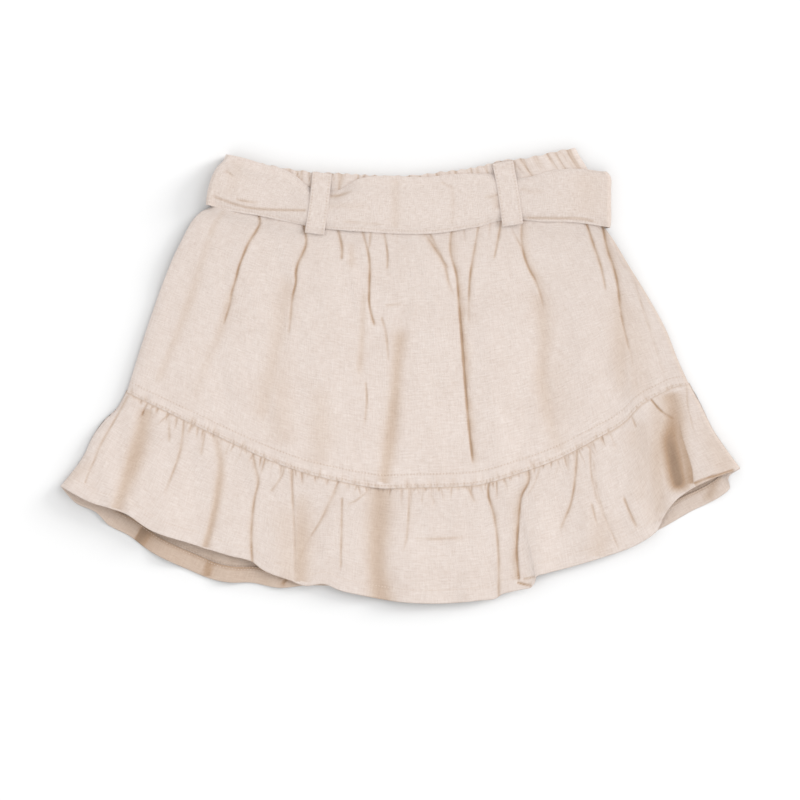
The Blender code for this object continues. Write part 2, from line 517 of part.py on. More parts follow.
def back_belt(s, t, column):
    """The back of the belt: on the surface, and over the two back loops."""
    flat = between(BELT_LEFT, BELT_RIGHT, BELT_BACK_TOP, BELT_BACK_BOTTOM, s, t)
    high = BELT_SPLIT_LEVEL - BELT_SPLIT_GAP
    height = high + (BACK_LEVEL - high) * belt_turn(s, BELT_WIDTH)
    for loop in BACK_LOOPS:
        past_loop = np.abs(flat[:, 0] - loop.x_top) - loop.width / 2 - BELT_SHELF
        height += BELT_STEP * (1 - soft_step(past_loop / BELT_SHELF))
    return with_height(flat, height)


def loop_shape(loop, over_belt, at_ends):
    """A belt loop, level over the belt and lower or higher at its sewn ends."""
    top = np.array([loop.x_top, loop.y_top])
    end = np.array([loop.x_end, loop.y_end])
    run = (end - top) / np.linalg.norm(end - top)
    side = np.array([-run[1], run[0]])

    def shape(s, t, column):
        flat = top + (end - top) * t[:, None] + side * ((s - 0.5) * loop.width)[:, None]
        past = np.maximum(flat[:, 1] - loop.belt_top, loop.belt_bottom - flat[:, 1])
        ramp = np.clip((past - LOOP_RAMP_START) / (LOOP_RAMP_END - LOOP_RAMP_START), 0.0, 1.0)
        return with_height(flat, over_belt + (at_ends - over_belt) * ramp)
    return shape


def loop_rows(loop):
    """Shares down a loop, with a row at each bend."""
    length = loop.y_top - loop.y_end
    bends = [loop.belt_top + LOOP_RAMP_END, loop.belt_top + LOOP_RAMP_START, loop.belt_top,
             (loop.belt_top + loop.belt_bottom) / 2, loop.belt_bottom,
             loop.belt_bottom - LOOP_RAMP_START, loop.belt_bottom - LOOP_RAMP_END]
    inner = [(loop.y_top - y) / length for y in bends]
    return tuple([0.0] + [share for share in inner if 0.02 < share < 0.98] + [1.0])


def shorts_shape(side, over_back):
    """Half of the shorts, from the centre seam to its outer edge. side is -1 or 1."""
    girths = sorted(SHORTS_GIRTHS)
    y_of = [g.y for g in girths]

    def shape(s, t, column):
        y = np.interp(t, even_shares(len(girths) - 1), sorted(y_of, reverse=True))
        inner = np.interp(y, y_of, [g.inner for g in girths]) + GAP / 2
        outer = np.interp(y, y_of, [g.outer for g in girths])
        x = SHORTS_MIDDLE + side * (inner + (outer - inner) * s)
        height = BACK_LEVEL + waist_rise(y + SHORTS_RISE_AHEAD) + over_back
        return with_height(np.column_stack([x, y]), height)
    return shape


def build():
    """Make every piece of the skort."""
    clear_scene()
    collection = bpy.data.collections.new("skort")
    bpy.context.scene.collection.children.link(collection)
    root = bpy.data.objects.new("skort_origin", None)
    collection.objects.link(root)

    def make(name, columns, rows, shape, wall=LINEN, finish=LINEN_FINISH):
        return sheet(name, columns, rows, shape, wall, finish, collection, root)

    make("front_panel", even_shares(2 * WAIST_GATHERS), PANEL_ROWS, front_panel)
    make("back_panel", even_shares(BACK_COLUMNS), BACK_PANEL_ROWS, back_panel)
    make("front_ruffle", even_shares(2 * RUFFLE_GATHERS), RUFFLE_ROWS, front_ruffle)
    make("back_ruffle", even_shares(BACK_COLUMNS), BACK_RUFFLE_ROWS, back_ruffle)
    make("front_waistband", even_shares(2 * BAND_RUCHES), BAND_ROWS, front_band, BAND_WALL)
    make("back_waistband", even_shares(BACK_BAND_COLUMNS), BAND_ROWS, back_band, BAND_WALL)
    belt_columns = turned_shares(BELT_COLUMNS, BELT_WIDTH, BELT_TURN)
    make("front_belt", belt_columns, BELT_ROWS, front_belt)
    make("back_belt", belt_columns, BAND_ROWS, back_belt)
    for loop in FRONT_LOOPS:
        make(loop.name, even_shares(2), loop_rows(loop), loop_shape(loop, LOOP_FRONT_LEVEL, LOOP_FRONT_END))
    for loop in BACK_LOOPS:
        make(loop.name, even_shares(2), loop_rows(loop), loop_shape(loop, BACK_LEVEL, LOOP_BACK_END))
    shorts_rows = even_shares(len(SHORTS_GIRTHS) - 1)
    for side, side_name in ((-1, "left"), (1, "right")):
        make("back_shorts_" + side_name, even_shares(2), shorts_rows,
             shorts_shape(side, SHORTS_BACK_OVER), JERSEY, JERSEY_FINISH)
        make("front_shorts_" + side_name, even_shares(2), shorts_rows,
             shorts_shape(side, SHORTS_FRONT_OVER), JERSEY, JERSEY_FINISH)


build()
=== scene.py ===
"""Looks of a small child's skort in light linen, laid flat on its back.

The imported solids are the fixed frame. Each cloth piece here is a thin sheet on the form of
its solids, with the creases, gathers, hems and stitches that the real one has. Sizes are in
millimetres and become metres when a mesh is made. The garment lies in the XY plane with its
waist towards +Y, and its front faces up.
"""

import logging
import math
from collections.abc import Sequence
from dataclasses import dataclass, field, replace
from enum import Enum
from functools import partial

import bmesh
import bpy
import numpy as np
from mathutils import Matrix, Vector


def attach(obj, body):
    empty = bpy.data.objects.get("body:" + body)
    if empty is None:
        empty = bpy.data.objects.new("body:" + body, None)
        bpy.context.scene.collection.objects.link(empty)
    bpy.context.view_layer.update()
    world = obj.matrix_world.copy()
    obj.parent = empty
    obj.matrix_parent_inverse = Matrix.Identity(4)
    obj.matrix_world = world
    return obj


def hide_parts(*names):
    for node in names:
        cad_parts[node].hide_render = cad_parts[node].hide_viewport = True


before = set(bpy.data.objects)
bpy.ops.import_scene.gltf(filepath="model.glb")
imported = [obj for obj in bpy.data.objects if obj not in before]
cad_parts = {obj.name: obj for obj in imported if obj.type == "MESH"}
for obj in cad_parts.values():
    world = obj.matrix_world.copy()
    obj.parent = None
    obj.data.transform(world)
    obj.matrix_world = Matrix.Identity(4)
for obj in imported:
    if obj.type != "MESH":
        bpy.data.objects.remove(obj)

MM = 0.001
MARK_REACH = 4.0                        # a sharp crease is marked this far to either side
WELD = 0.02                             # points closer than this become one at a tube's seam
READ_REACH = 3.2                        # a fold is read this many widths to either side
DARK_AT = (0.15, 0.5, 0.85)             # shares of a crease where its three darks are read
DARK_STEPS = (0.0, 0.2, 0.47, 0.62)     # how dark the painted shade is at its levels 0, 1, 2 and 3
LOG = logging.getLogger("skort")
Array = np.ndarray
Spot = tuple[float, float]
Triple = tuple[float, float, float]
Colour = Triple
Piece = bpy.types.Object
Material = bpy.types.Material
Socket = bpy.types.NodeSocket


class Side(Enum):
    """A side of the garment, as it lies in the picture."""

    LEFT = -1
    RIGHT = 1


class Edge(Enum):
    """How a crease looks.

    The numbers are its profile's power, the length of its short waves, how much of its
    dark is painted as shade, and how much its darkness changes with the waves.
    """

    SOFT = (2.0, 11.0, 0.97, 0.05)
    CRISP = (1.3, 2.3, 0.74, 0.14)


class Hold(Enum):
    LAID = "laid"
    GATHERED = "gathered"
    FOLDED = "folded"


# ------------------------------------------------------------------ profiles and lines
def soft_step(share: Array | float) -> Array:
    """Rise smoothly from 0 at a share of 0 to 1 at a share of 1."""
    held = np.clip(share, 0.0, 1.0)
    return held * held * (3.0 - 2.0 * held)


def round_over(share: Array) -> Array:
    """Rise like a quarter of a circle from 0 at a share of 0 to 1 at a share of 1."""
    return np.sqrt(1.0 - (1.0 - np.clip(share, 0.0, 1.0)) ** 2)


def bell(share: Array) -> Array:
    """Fall from 1 at 0 to almost nothing at 2, to either side."""
    return np.exp(-share ** 2)


def reach_along(path: Array) -> Array:
    """Give how far along a path each of its points lies."""
    return np.concatenate([[0.0], np.cumsum(np.linalg.norm(np.diff(path, axis=0), axis=1))])


def pick(path: Array, spots: Array, reach: Array) -> Array:
    """Read a path's coordinates at some places of its reach, on a last axis."""
    return np.stack([np.interp(spots, reach, column) for column in path.T], axis=-1)


@dataclass(frozen=True)
class Reading:
    """Points near a line: which they are, how far aside and how far along, and its length."""

    near: Array
    aside: Array
    run: Array
    length: float

    def fade(self, head: float, tail: float) -> Array:
        """Give 1 along the line, and less within head of its start and tail of its end."""
        return soft_step(self.run / head) * soft_step((self.length - self.run) / tail)


@dataclass(frozen=True)
class Line:
    """A smooth line through a few points, seen from above, in millimetres."""

    points: tuple[Spot, ...]

    def dense(self, steps: int = 6) -> Array:
        """Read the line closely.

        Args:
            steps: short stretches between two of its points.

        Returns:
            The points of the line, one a row.
        """
        knots = np.array(self.points, dtype=float)
        reach = reach_along(knots)
        slopes = np.gradient(knots, reach, axis=0)
        u = (np.arange(steps) / steps)[:, None]
        parts = []
        for i, span in enumerate(np.diff(reach)):
            starts = knots[i] * (1 + 2 * u) * (1 - u) ** 2 + slopes[i] * span * u * (1 - u) ** 2
            ends = knots[i + 1] * u * u * (3 - 2 * u) - slopes[i + 1] * span * u * u * (1 - u)
            parts.append(starts + ends)
        return np.vstack([*parts, knots[-1]])

    def along(self, shares: Array) -> Array:
        """Find the points at some shares of the line's length, from 0 to 1."""
        path = self.dense(8)
        reach = reach_along(path)
        return pick(path, shares * reach[-1], reach)

    def moved(self, dx: float, dy: float) -> "Line":
        """Give the same line, moved."""
        return Line(tuple((x + dx, y + dy) for x, y in self.points))

    def measure(self, x: Array, y: Array, margin: float) -> Reading:
        """Measure points against the line.

        Args:
            x: their x.
            y: their y.
            margin: how far from the line points still matter.

        Returns:
            What is known of the points near the line.
        """
        path = self.dense(4)
        low, high = path.min(axis=0) - margin, path.max(axis=0) + margin
        near = np.flatnonzero((x > low[0]) & (x < high[0]) & (y > low[1]) & (y < high[1]))
        reach = reach_along(path)
        best = np.full((3, len(near)), np.inf)
        for i, span in enumerate(np.diff(reach)):
            dx, dy = (path[i + 1] - path[i]) / span
            from_x, from_y = x[near] - path[i, 0], y[near] - path[i, 1]
            share = np.clip(from_x * dx + from_y * dy, 0.0, span)
            off_x, off_y = from_x - share * dx, from_y - share * dy
            gap = np.hypot(off_x, off_y)
            aside = np.copysign(gap, dx * off_y - dy * off_x)
            best = np.where(gap < best[0], [gap, aside, reach[i] + share], best)
        return Reading(near, best[1], best[2], float(reach[-1]))


def line(*numbers: float) -> Line:
    """Make a line from the x and y of its points in turn."""
    return Line(tuple(zip(numbers[::2], numbers[1::2])))


# ------------------------------------------------------------------ folds of the cloth
@dataclass
class CreaseMark:
    """What a material needs to know of the folds at each point.

    aside and strength are of the sharp crease that shows most there, score is how much it
    shows, and painted_shade says how much shade is painted on the point in a fold, from 0 to 3.
    """

    aside: Array
    strength: Array
    painted_shade: Array
    score: Array

    @classmethod
    def blank(cls, count: int) -> "CreaseMark":
        """Start with no crease near any point."""
        return cls(np.full(count, MARK_REACH), *np.zeros((3, count)))

    def note(self, near: Array, aside: Array, strength: Array) -> None:
        """Take a crease where it shows more than the one noted so far.

        Args:
            near: which points are near the crease.
            aside: how far aside of it they lie.
            strength: how strong it is there.
        """
        gap = np.abs(aside)
        score = strength * bell(gap / 0.9)
        better = score > self.score[near]
        chosen = near[better]
        self.aside[chosen] = gap[better]
        self.strength[chosen] = (strength * soft_step(2.0 - 2.0 * gap / MARK_REACH))[better]
        self.score[chosen] = score[better]

    def shade(self, dark: Array, near: Array | slice = slice(None)) -> None:
        """Paint shade on points in a fold, dark being the share of light that it takes away."""
        painted_shade = np.interp(dark, DARK_STEPS, range(len(DARK_STEPS)))
        self.painted_shade[near] = np.maximum(self.painted_shade[near], painted_shade)


@dataclass(frozen=True)
class Crease:
    """A crease that presses the cloth down along a line.

    dark is how much shade is painted in it, near its start, half-way and near its end.
    left and right are the widths of its sides, head and tail how far it takes to appear
    and to run out, dip is how much deeper it grows towards its end, and deep its share of
    the usual depth.
    """

    edge: Edge
    line: Line
    dark: Triple
    left: float
    right: float
    head: float
    tail: float
    dip: float = 0.0
    deep: float = 1.0
    depth: float = 0.38                 # for each unit of dark and of width
    sway: float = 5.9                   # how long its long waves are

    def press(self, x: Array, y: Array, depth: Array, mark: CreaseMark) -> None:
        """Add the crease's depth at points, and paint its shade.

        Args:
            x: their x.
            y: their y.
            depth: the depths so far, which are added to.
            mark: the creases' marks so far, which are added to.
        """
        reach = max(READ_REACH * self.left, READ_REACH * self.right, MARK_REACH)
        read = self.line.measure(x, y, reach)
        share = read.run / read.length
        fade = read.fade(self.head, self.tail)
        power, beat, shown, uneven = self.edge.value
        crisp = self.edge is Edge.CRISP
        wave = np.sin(read.run / beat + self.line.points[0][0])
        sway = np.sin(read.run / self.sway + 2.0 * self.line.points[0][1])
        dark = np.interp(share, DARK_AT, self.dark) * fade
        dark = dark * (1.0 + uneven * (wave + sway if crisp else wave))
        width = np.where(read.aside < 0.0, self.left, self.right)
        width = width * (0.78 * (1.0 - 0.24 * sway) if crisp else 1.0 + 0.10 * wave)
        side = np.exp(-np.abs(read.aside / width) ** power)
        pressed = self.depth * dark * (self.left + self.right) + self.dip * share * fade
        depth[read.near] += self.deep * pressed * side
        mark.shade(shown * dark * side, read.near)
        if crisp:
            mark.note(read.near, read.aside, np.clip((dark - 0.06) / 0.45, 0.0, 1.0))


def crease(edge: Edge, numbers: tuple[float, ...], *rest: float) -> Crease:
    """Make a crease from its line's numbers, its three darks and its other sizes in turn."""
    return Crease(edge, line(*numbers), rest[:3], *rest[3:])


soft = partial(crease, Edge.SOFT)
crisp = partial(crease, Edge.CRISP)


@dataclass(frozen=True)
class Ridge:
    """A soft rise of the cloth that grows along a line: its height at the end and its width."""

    line: Line
    height: float
    width: float

    def rise(self, x: Array, y: Array) -> Array:
        """Give the rise at points."""
        read = self.line.measure(x, y, READ_REACH * self.width)
        grown = self.height * (0.1 + 0.9 * read.run / read.length) * read.fade(10.0, 0.1)
        rise = np.zeros_like(x)
        rise[read.near] = grown * bell(read.aside / self.width)
        return rise


@dataclass(frozen=True)
class Puff:
    """A soft rise of the cloth: its middle, height and reach to either side."""

    x: float
    y: float
    height: float
    reach_x: float
    reach_y: float

    def rise(self, x: Array, y: Array) -> Array:
        """Give the rise at points."""
        return self.height * bell((x - self.x) / self.reach_x) * bell((y - self.y) / self.reach_y)


@dataclass(frozen=True)
class Crumple:
    """Soft uneven crumpling: its height, its spacing across and down, and its seed."""

    height: float
    wide: float
    long: float
    seed: int
    cells: int = 128

    def rise(self, x: Array, y: Array) -> Array:
        """Give the rise at points."""
        grid = np.random.default_rng(self.seed).uniform(-1.0, 1.0, (self.cells, self.cells))
        u = (x + 300.0 + 0.12 * y) / self.wide + 0.35 * np.sin(y / (0.43 * self.long) + self.seed)
        v = (y + 300.0) / self.long + 0.35 * np.sin(x / (0.47 * self.wide) + 2.0 * self.seed)
        i, j = np.floor(u).astype(int), np.floor(v).astype(int)
        a, b = soft_step(u - i), soft_step(v - j)
        i, j = i % (self.cells - 1), j % (self.cells - 1)
        low = grid[j, i] * (1.0 - a) + grid[j, i + 1] * a
        high = grid[j + 1, i] * (1.0 - a) + grid[j + 1, i + 1] * a
        return self.height * (low * (1.0 - b) + high * b)


@dataclass(frozen=True)
class Gathers:
    """Small uneven gathers along a seam.

    count is how many there are, shortest and longest their lengths, deep the depth and dark
    the painted shade of the strongest, and seed what fixes their places.
    """

    count: int
    shortest: float
    longest: float
    deep: float
    dark: float
    seed: int
    power: float = 1.3                  # of its profile
    reach: float = 5.0                  # how far aside one is read

    def press(self, along: Array, below: Array, seam: float, mark: CreaseMark) -> Array:
        """Press the gathers into the cloth.

        Args:
            along: how far along the seam each point is.
            below: how far from the seam it is.
            seam: the seam's length.
            mark: the creases' marks so far, which are added to.

        Returns:
            The gathers' depth at each point.
        """
        draw = np.random.default_rng(self.seed)
        spots = np.arange(self.count) + 0.5 + draw.uniform(-0.7, 0.7, self.count)
        lengths = self.shortest + (self.longest - self.shortest) * draw.random(self.count) ** 2.2
        leans = draw.normal(0.0, 0.24, self.count)
        strengths = draw.uniform(0.25, 1.0, self.count)
        widths = draw.uniform(0.6, 1.5, self.count)
        places = spots * seam / self.count
        depth = np.zeros_like(along)
        close = np.flatnonzero(below < self.longest)
        for place, length, lean, strong, width in zip(places, lengths, leans, strengths, widths):
            aside = along[close] - place - lean * below[close]
            near = np.abs(aside) < self.reach
            chosen, aside = close[near], aside[near]
            left = strong * (1.0 - soft_step(below[chosen] / length))
            side = np.exp(-np.abs(aside / width) ** self.power)
            depth[chosen] += self.deep * left * side
            mark.shade(0.8 * self.dark * left * side, chosen)
            mark.note(chosen, aside, np.clip(2.2 * self.dark * left, 0.0, 1.0))
        return depth


# ------------------------------------------------------------------ patches and meshes
@dataclass(frozen=True)
class Patch:
    """The part of the plane between four lines."""

    left: Line
    right: Line
    top: Line
    bottom: Line

    def at(self, across: Array, down: Array) -> Array:
        """Find the points at shares across and down.

        Args:
            across: one share for each column.
            down: one share for each row.

        Returns:
            An array of rows, columns and (x, y).
        """
        s, t = across[None, :, None], down[:, None, None]
        lefts, rights = np.array(self.left.points), np.array(self.right.points)
        ends = ((1 - s) * (1 - t) * lefts[0] + s * (1 - t) * rights[0]
                + (1 - s) * t * lefts[-1] + s * t * rights[-1])
        sides = (1 - s) * self.left.along(down)[:, None] + s * self.right.along(down)[:, None]
        levels = (1 - t) * self.top.along(across)[None] + t * self.bottom.along(across)[None]
        return sides + levels - ends


def crowded(count: int, places: Sequence[float] = (), width: float = 1.0, gain: float = 0.0,
            ends: float = 0.0) -> Array:
    """Cut 0 to 1 into shares that crowd round some places.

    Args:
        count: how many spans there are.
        places: where they crowd.
        width: how wide a crowd is.
        gain: how many times closer they are there.
        ends: how many times closer they are at 0 and 1.

    Returns:
        The shares, one more than count.
    """
    fine = np.linspace(0.0, 1.0, 4001)
    density = 1.0 + ends * np.exp(-np.minimum(fine, 1.0 - fine) / 0.004)
    for place in places:
        density = np.maximum(density, 1.0 + gain * bell((fine - place) / width))
    total = np.concatenate([[0.0], np.cumsum((density[1:] + density[:-1]) / 2)])
    return np.interp(np.linspace(0.0, total[-1], count + 1), total, fine)


def outward(points: Array) -> Array:
    """Find the unit normals of a sheet of points (rows, columns, 3), out of the garment."""
    normals = np.cross(np.gradient(points, axis=0), np.gradient(points, axis=1))
    return normals / np.maximum(np.linalg.norm(normals, axis=2, keepdims=True), 1e-9)


def put_in_scene(name: str, data: bpy.types.ID) -> Piece:
    """Make an object of some data and link it to the scene."""
    made = bpy.data.objects.new(name, data)
    bpy.context.scene.collection.objects.link(made)
    return made


def mesh_of(name: str, shell: bmesh.types.BMesh) -> bpy.types.Mesh:
    """Make a mesh of a shell, and free the shell."""
    mesh = bpy.data.meshes.new(name)
    shell.to_mesh(mesh)
    shell.free()
    return mesh


@dataclass
class Cloth:
    """Points of a sheet of cloth, before it is a mesh.

    points has rows, columns and (x, y, z), cut the place of each point in the flat cloth,
    and marks the named numbers that a material reads.
    """

    points: Array
    cut: Array
    marks: dict[str, Array]

    def with_hem(self, depth: Array, under: float, shade: Array | float) -> "Cloth":
        """Turn the lower edge up on the inside.

        Args:
            depth: how wide the turned hem is in each column.
            under: how far inside the cloth it lies.
            shade: how much painted shade it gets, in each column.

        Returns:
            The cloth, with rows added below.
        """
        normals = outward(self.points)
        rows, columns = self.points.shape[:2]
        reach = np.linalg.norm(self.points - self.points[-1], axis=2)
        every = np.arange(columns)
        last = self.points[-1] - self.points[-2]
        last = last / np.maximum(np.linalg.norm(last, axis=1, keepdims=True), 1e-9)
        points = [self.points[-1] + under * 0.5 * (last - normals[-1])]
        cut = [self.cut[-1] + np.array([0.0, under])]
        added = {name: [value[-1]] for name, value in self.marks.items()}
        for share in (0.0, 0.12, 0.4, 0.7, 1.0):
            spot = np.array([np.interp(-share * depth[i], -reach[:, i], np.arange(rows))
                             for i in every])
            low = np.minimum(spot.astype(int), rows - 2)
            part = spot - low

            def read(value: Array) -> Array:
                """Read a value between two rows, in each column."""
                weight = part if value.ndim == 2 else part[:, None]
                return value[low, every] * (1.0 - weight) + value[low + 1, every] * weight

            points.append(read(self.points) - read(normals) * under)
            cut.append(self.cut[-1] + [0.0, 2.0 * under] + (share * depth)[:, None] * [0.0, 1.0])
            for name, value in self.marks.items():
                added[name].append(read(value))
        marks = {name: np.vstack([value, added[name]]) for name, value in self.marks.items()}
        # the turned hem gets painted shade, as it lies inside the garment
        marks["painted_shade"][rows:] += shade
        marks["row_aside"][rows:] = MARK_REACH
        return Cloth(np.vstack([self.points, points]), np.vstack([self.cut, cut]), marks)

    def joined(self, back: "Cloth") -> "Cloth":
        """Join this sheet, the front, and a back into one tube.

        Args:
            back: the back, its columns from left to right.

        Returns:
            The tube: across the front, and back below it to where it started.
        """
        points = np.concatenate([self.points, back.points[:, -2::-1]], axis=1)
        points[:, self.points.shape[1] - 1] = (self.points[:, -1] + back.points[:, -1]) / 2
        points[:, 0] = points[:, -1] = (self.points[:, 0] + back.points[:, 0]) / 2
        width = self.cut[:, -1:, 0] + back.cut[:, -1:, 0]
        turned = np.stack([width - back.cut[:, -2::-1, 0], back.cut[:, -2::-1, 1]], axis=2)
        marks = {name: np.concatenate([value, back.marks[name][:, -2::-1]], axis=1)
                 for name, value in self.marks.items()}
        return Cloth(points, np.concatenate([self.cut, turned], axis=1), marks)

    def mesh(self, name: str, ring: bool = True) -> Piece:
        """Make the mesh from a grid.

        Args:
            name: what the piece is called.
            ring: true where the last column meets the first one, to be welded to it.

        Returns:
            The object, at the origin.
        """
        rows, columns = self.points.shape[:2]
        grid = bmesh.new()
        bmesh.ops.create_grid(grid, x_segments=columns - 1, y_segments=rows - 1, size=0.5)
        mesh = mesh_of(name, grid)
        flat = np.zeros(rows * columns * 3)
        mesh.vertices.foreach_get("co", flat)
        flat = flat.reshape(-1, 3)
        column = np.rint((flat[:, 0] + 0.5) * (columns - 1)).astype(int)
        row = np.rint((0.5 - flat[:, 1]) * (rows - 1)).astype(int)
        mesh.vertices.foreach_set("co", (self.points[row, column] * MM).ravel())
        corners = np.zeros(len(mesh.loops), dtype=np.int32)
        mesh.loops.foreach_get("vertex_index", corners)
        layer = mesh.uv_layers.new(name="cloth")
        layer.data.foreach_set("uv", (self.cut[row, column] * MM)[corners].ravel())
        for mark, value in self.marks.items():
            attribute = mesh.attributes.new(mark, "FLOAT", "POINT")
            attribute.data.foreach_set("value", value[row, column].astype(np.float32))
        if ring:
            shell = bmesh.new()
            shell.from_mesh(mesh)
            edge = [vertex for vertex in shell.verts if vertex.is_boundary]
            bmesh.ops.remove_doubles(shell, verts=edge, dist=WELD * MM)
            shell.to_mesh(mesh)
            shell.free()
        mesh.shade_smooth()
        return put_in_scene(name, mesh)

    def row_path(self, below: float, start: float, end: float, proud: float) -> Array:
        """Follow a row of stitches across the sheet.

        Args:
            below: how far down the flat cloth the row runs.
            start: share of the sheet's width where it starts.
            end: share where it ends.
            proud: how far out of the cloth's middle it lies.

        Returns:
            The points of the row.
        """
        down = self.cut[:, 0, 1]
        row = float(np.interp(below, down, np.arange(len(down))))
        low = min(int(row), len(down) - 2)
        share = row - low
        out = self.points + proud * outward(self.points)
        path = out[low] * (1.0 - share) + out[low + 1] * share
        wide = self.cut[low, :, 0]
        return pick(path, np.linspace(wide[-1] * start, wide[-1] * end, 900), wide)


def give_wall(piece: Piece, wall: float, round_edge: float = 0.0) -> None:
    """Give a sheet its thickness.

    Args:
        piece: the sheet.
        wall: its thickness.
        round_edge: how far its edges are rounded.
    """
    solidify = piece.modifiers.new("wall", "SOLIDIFY")
    solidify.thickness = wall * MM
    solidify.offset = 0.0
    solidify.use_even_offset = False
    if round_edge > 0.0:
        bevel = piece.modifiers.new("rounded edge", "BEVEL")
        bevel.width = round_edge * MM
        bevel.segments = 2
        bevel.limit_method = "ANGLE"
        bevel.angle_limit = math.radians(62.0)


# ------------------------------------------------------------------ finishes
class Nodes:
    """Adds nodes to a tree and links them."""

    def __init__(self, tree: bpy.types.NodeTree) -> None:
        """Work on a tree."""
        self.tree = tree

    def feed(self, socket: Socket, value: Socket | float | Sequence[float]) -> None:
        """Link another socket to a socket, or give it a value."""
        if isinstance(value, Socket):
            self.tree.links.new(value, socket)
        else:
            socket.default_value = value

    def add(self, kind: str, values: dict, out: str | int = 0, **settings: object) -> Socket:
        """Add a node.

        Args:
            kind: its type, without ShaderNode.
            values: what goes into its inputs.
            out: which output is wanted.
            settings: its own settings.

        Returns:
            The output.
        """
        node = self.tree.nodes.new("ShaderNode" + kind)
        for name, setting in settings.items():
            setattr(node, name, setting)
        for label, value in values.items():
            self.feed(node.inputs[label], value)
        return node.outputs[out]

    def math(self, operation: str, *values: Socket | float, clamp: bool = False) -> Socket:
        """Add a Math node and give its output."""
        return self.add("Math", dict(enumerate(values)), operation=operation, use_clamp=clamp)

    def mix(self, share: Socket, a: Socket | Colour, b: Colour, blend: str = "MIX") -> Socket:
        """Add a node that mixes two colours, and give its output."""
        first = a if isinstance(a, Socket) else (*a, 1.0)
        return self.add("Mix", {"Factor": share, "A": first, "B": (*b, 1.0)}, "Result",
                        data_type="RGBA", blend_type=blend)


class NodeGroup(Nodes):
    """Builds a shader node group with named inputs and outputs."""

    def __init__(self, name: str, inputs: dict[str, float], outputs: Sequence[str]) -> None:
        """Start the group.

        Args:
            name: what the group is called.
            inputs: its inputs and their usual values.
            outputs: its outputs.
        """
        super().__init__(bpy.data.node_groups.new(name, "ShaderNodeTree"))
        new_socket = partial(self.tree.interface.new_socket, socket_type="NodeSocketFloat")
        for label, value in inputs.items():
            new_socket(label, in_out="INPUT").default_value = value
        for label in outputs:
            new_socket(label, in_out="OUTPUT")
        self.given = self.tree.nodes.new("NodeGroupInput").outputs
        self.result = self.tree.nodes.new("NodeGroupOutput").inputs

    def attribute(self, name: str) -> Socket:
        """Read one of the mesh's named numbers."""
        return self.add("Attribute", {}, "Fac", attribute_name=name)

    def noise(self, place: Socket, scale: Triple, detail: float, rough: float) -> Socket:
        """Add a noise about 0 that is stretched by its scale along each axis."""
        stretched = self.add("VectorMath", {0: place, 1: scale}, operation="MULTIPLY")
        values = {"Vector": stretched, "Scale": 1.0, "Detail": detail, "Roughness": rough}
        return self.math("SUBTRACT", self.add("TexNoise", values, "Fac"), 0.5)


def weave_group() -> None:
    """Build the weave, a shade and a height about 0.5: threads, uneven slubs, soft mottle."""
    group = NodeGroup("weave", {"Pitch": 0.55, "Weft slub": 1.0, "Warp slub": 0.6, "Mottle": 0.5,
                                "Fineness": 1.0}, ("Shade", "Height"))
    uv = group.add("UVMap", {}, uv_map="cloth")
    place = group.add("VectorMath", {0: uv, "Scale": group.given["Fineness"]}, operation="SCALE")
    flat = group.add("SeparateXYZ", {0: uv}).node.outputs
    turn = group.math("DIVIDE", 2.0 * math.pi / MM, group.given["Pitch"])
    across, down = (group.math("SINE", group.math("MULTIPLY", flat[axis], turn)) for axis in "XY")
    threads = group.math("MULTIPLY", across, down)
    weft = group.math("MULTIPLY", group.noise(place, (150.0, 1000.0, 1.0), 2.0, 0.7),
                      group.given["Weft slub"])
    warp = group.math("MULTIPLY", group.noise(place, (1000.0, 130.0, 1.0), 2.0, 0.7),
                      group.given["Warp slub"])
    slubs = group.math("ADD", weft, warp)
    mottle = group.noise(place, (42.0, 42.0, 1.0), 3.0, 0.6)
    shade = group.math("MULTIPLY_ADD", group.given["Mottle"], mottle, slubs)
    shade = group.math("MULTIPLY_ADD", threads, 0.07, shade)
    group.feed(group.result["Shade"], group.math("ADD", shade, 0.5))
    height = group.math("MULTIPLY_ADD", threads, 0.22, group.math("ADD", slubs, 0.5))
    group.feed(group.result["Height"], height)


def crease_group() -> None:
    """Build the sharp bottoms of creases, and the painted shade of folds, of the deepest parts
    of creases, of the deepest folds' shadow and of the pits of stitches.
    """
    group = NodeGroup("creases, stitch pits and painted shade",
                      {"Slit width": 0.75, "Stitch": 2.0, "Pit width": 0.5},
                      ("Slit", "Pit", "Fold", "Deep", "Shadow"))

    def hump(mark: str, width: str) -> Socket:
        """Give 1 where a mark is 0, and less as it grows."""
        share = group.math("DIVIDE", group.attribute(mark), group.given[width])
        square = group.math("MULTIPLY", share, share)
        return group.math("EXPONENT", group.math("MULTIPLY", square, -1.0))

    slit = group.math("MULTIPLY", hump("crease_aside", "Slit width"),
                      group.attribute("crease_strength"))
    turn = group.math("DIVIDE", 2.0 * math.pi, group.given["Stitch"])
    beat = group.math("COSINE", group.math("MULTIPLY", group.attribute("row_along"), turn))
    beat = group.math("POWER", group.math("MULTIPLY_ADD", beat, 0.5, 0.5), 3.0)
    # painted shade: up to 1 a fold's tint, from 1 to 2 a deeper tint, from 2 to 3 a painted shadow
    painted_shade = group.attribute("painted_shade")
    deep = group.math("SUBTRACT", painted_shade, 1.0, clamp=True)
    for label, value in (("Slit", slit),
                         ("Pit", group.math("MULTIPLY", hump("row_aside", "Pit width"), beat)),
                         ("Fold", group.math("MINIMUM", painted_shade, 1.0)),
                         ("Deep", group.math("ADD", deep, slit)),
                         ("Shadow", group.math("SUBTRACT", painted_shade, 2.0, clamp=True))):
        group.feed(group.result[label], value)


def new_material(name: str, values: dict) -> tuple[Material, Nodes]:
    """Make a material whose shader has some values, and give it with its nodes."""
    material = bpy.data.materials.new(name)
    material.use_nodes = True
    nodes = Nodes(material.node_tree)
    for label, value in values.items():
        nodes.feed(nodes.tree.nodes["Principled BSDF"].inputs[label], value)
    return material, nodes


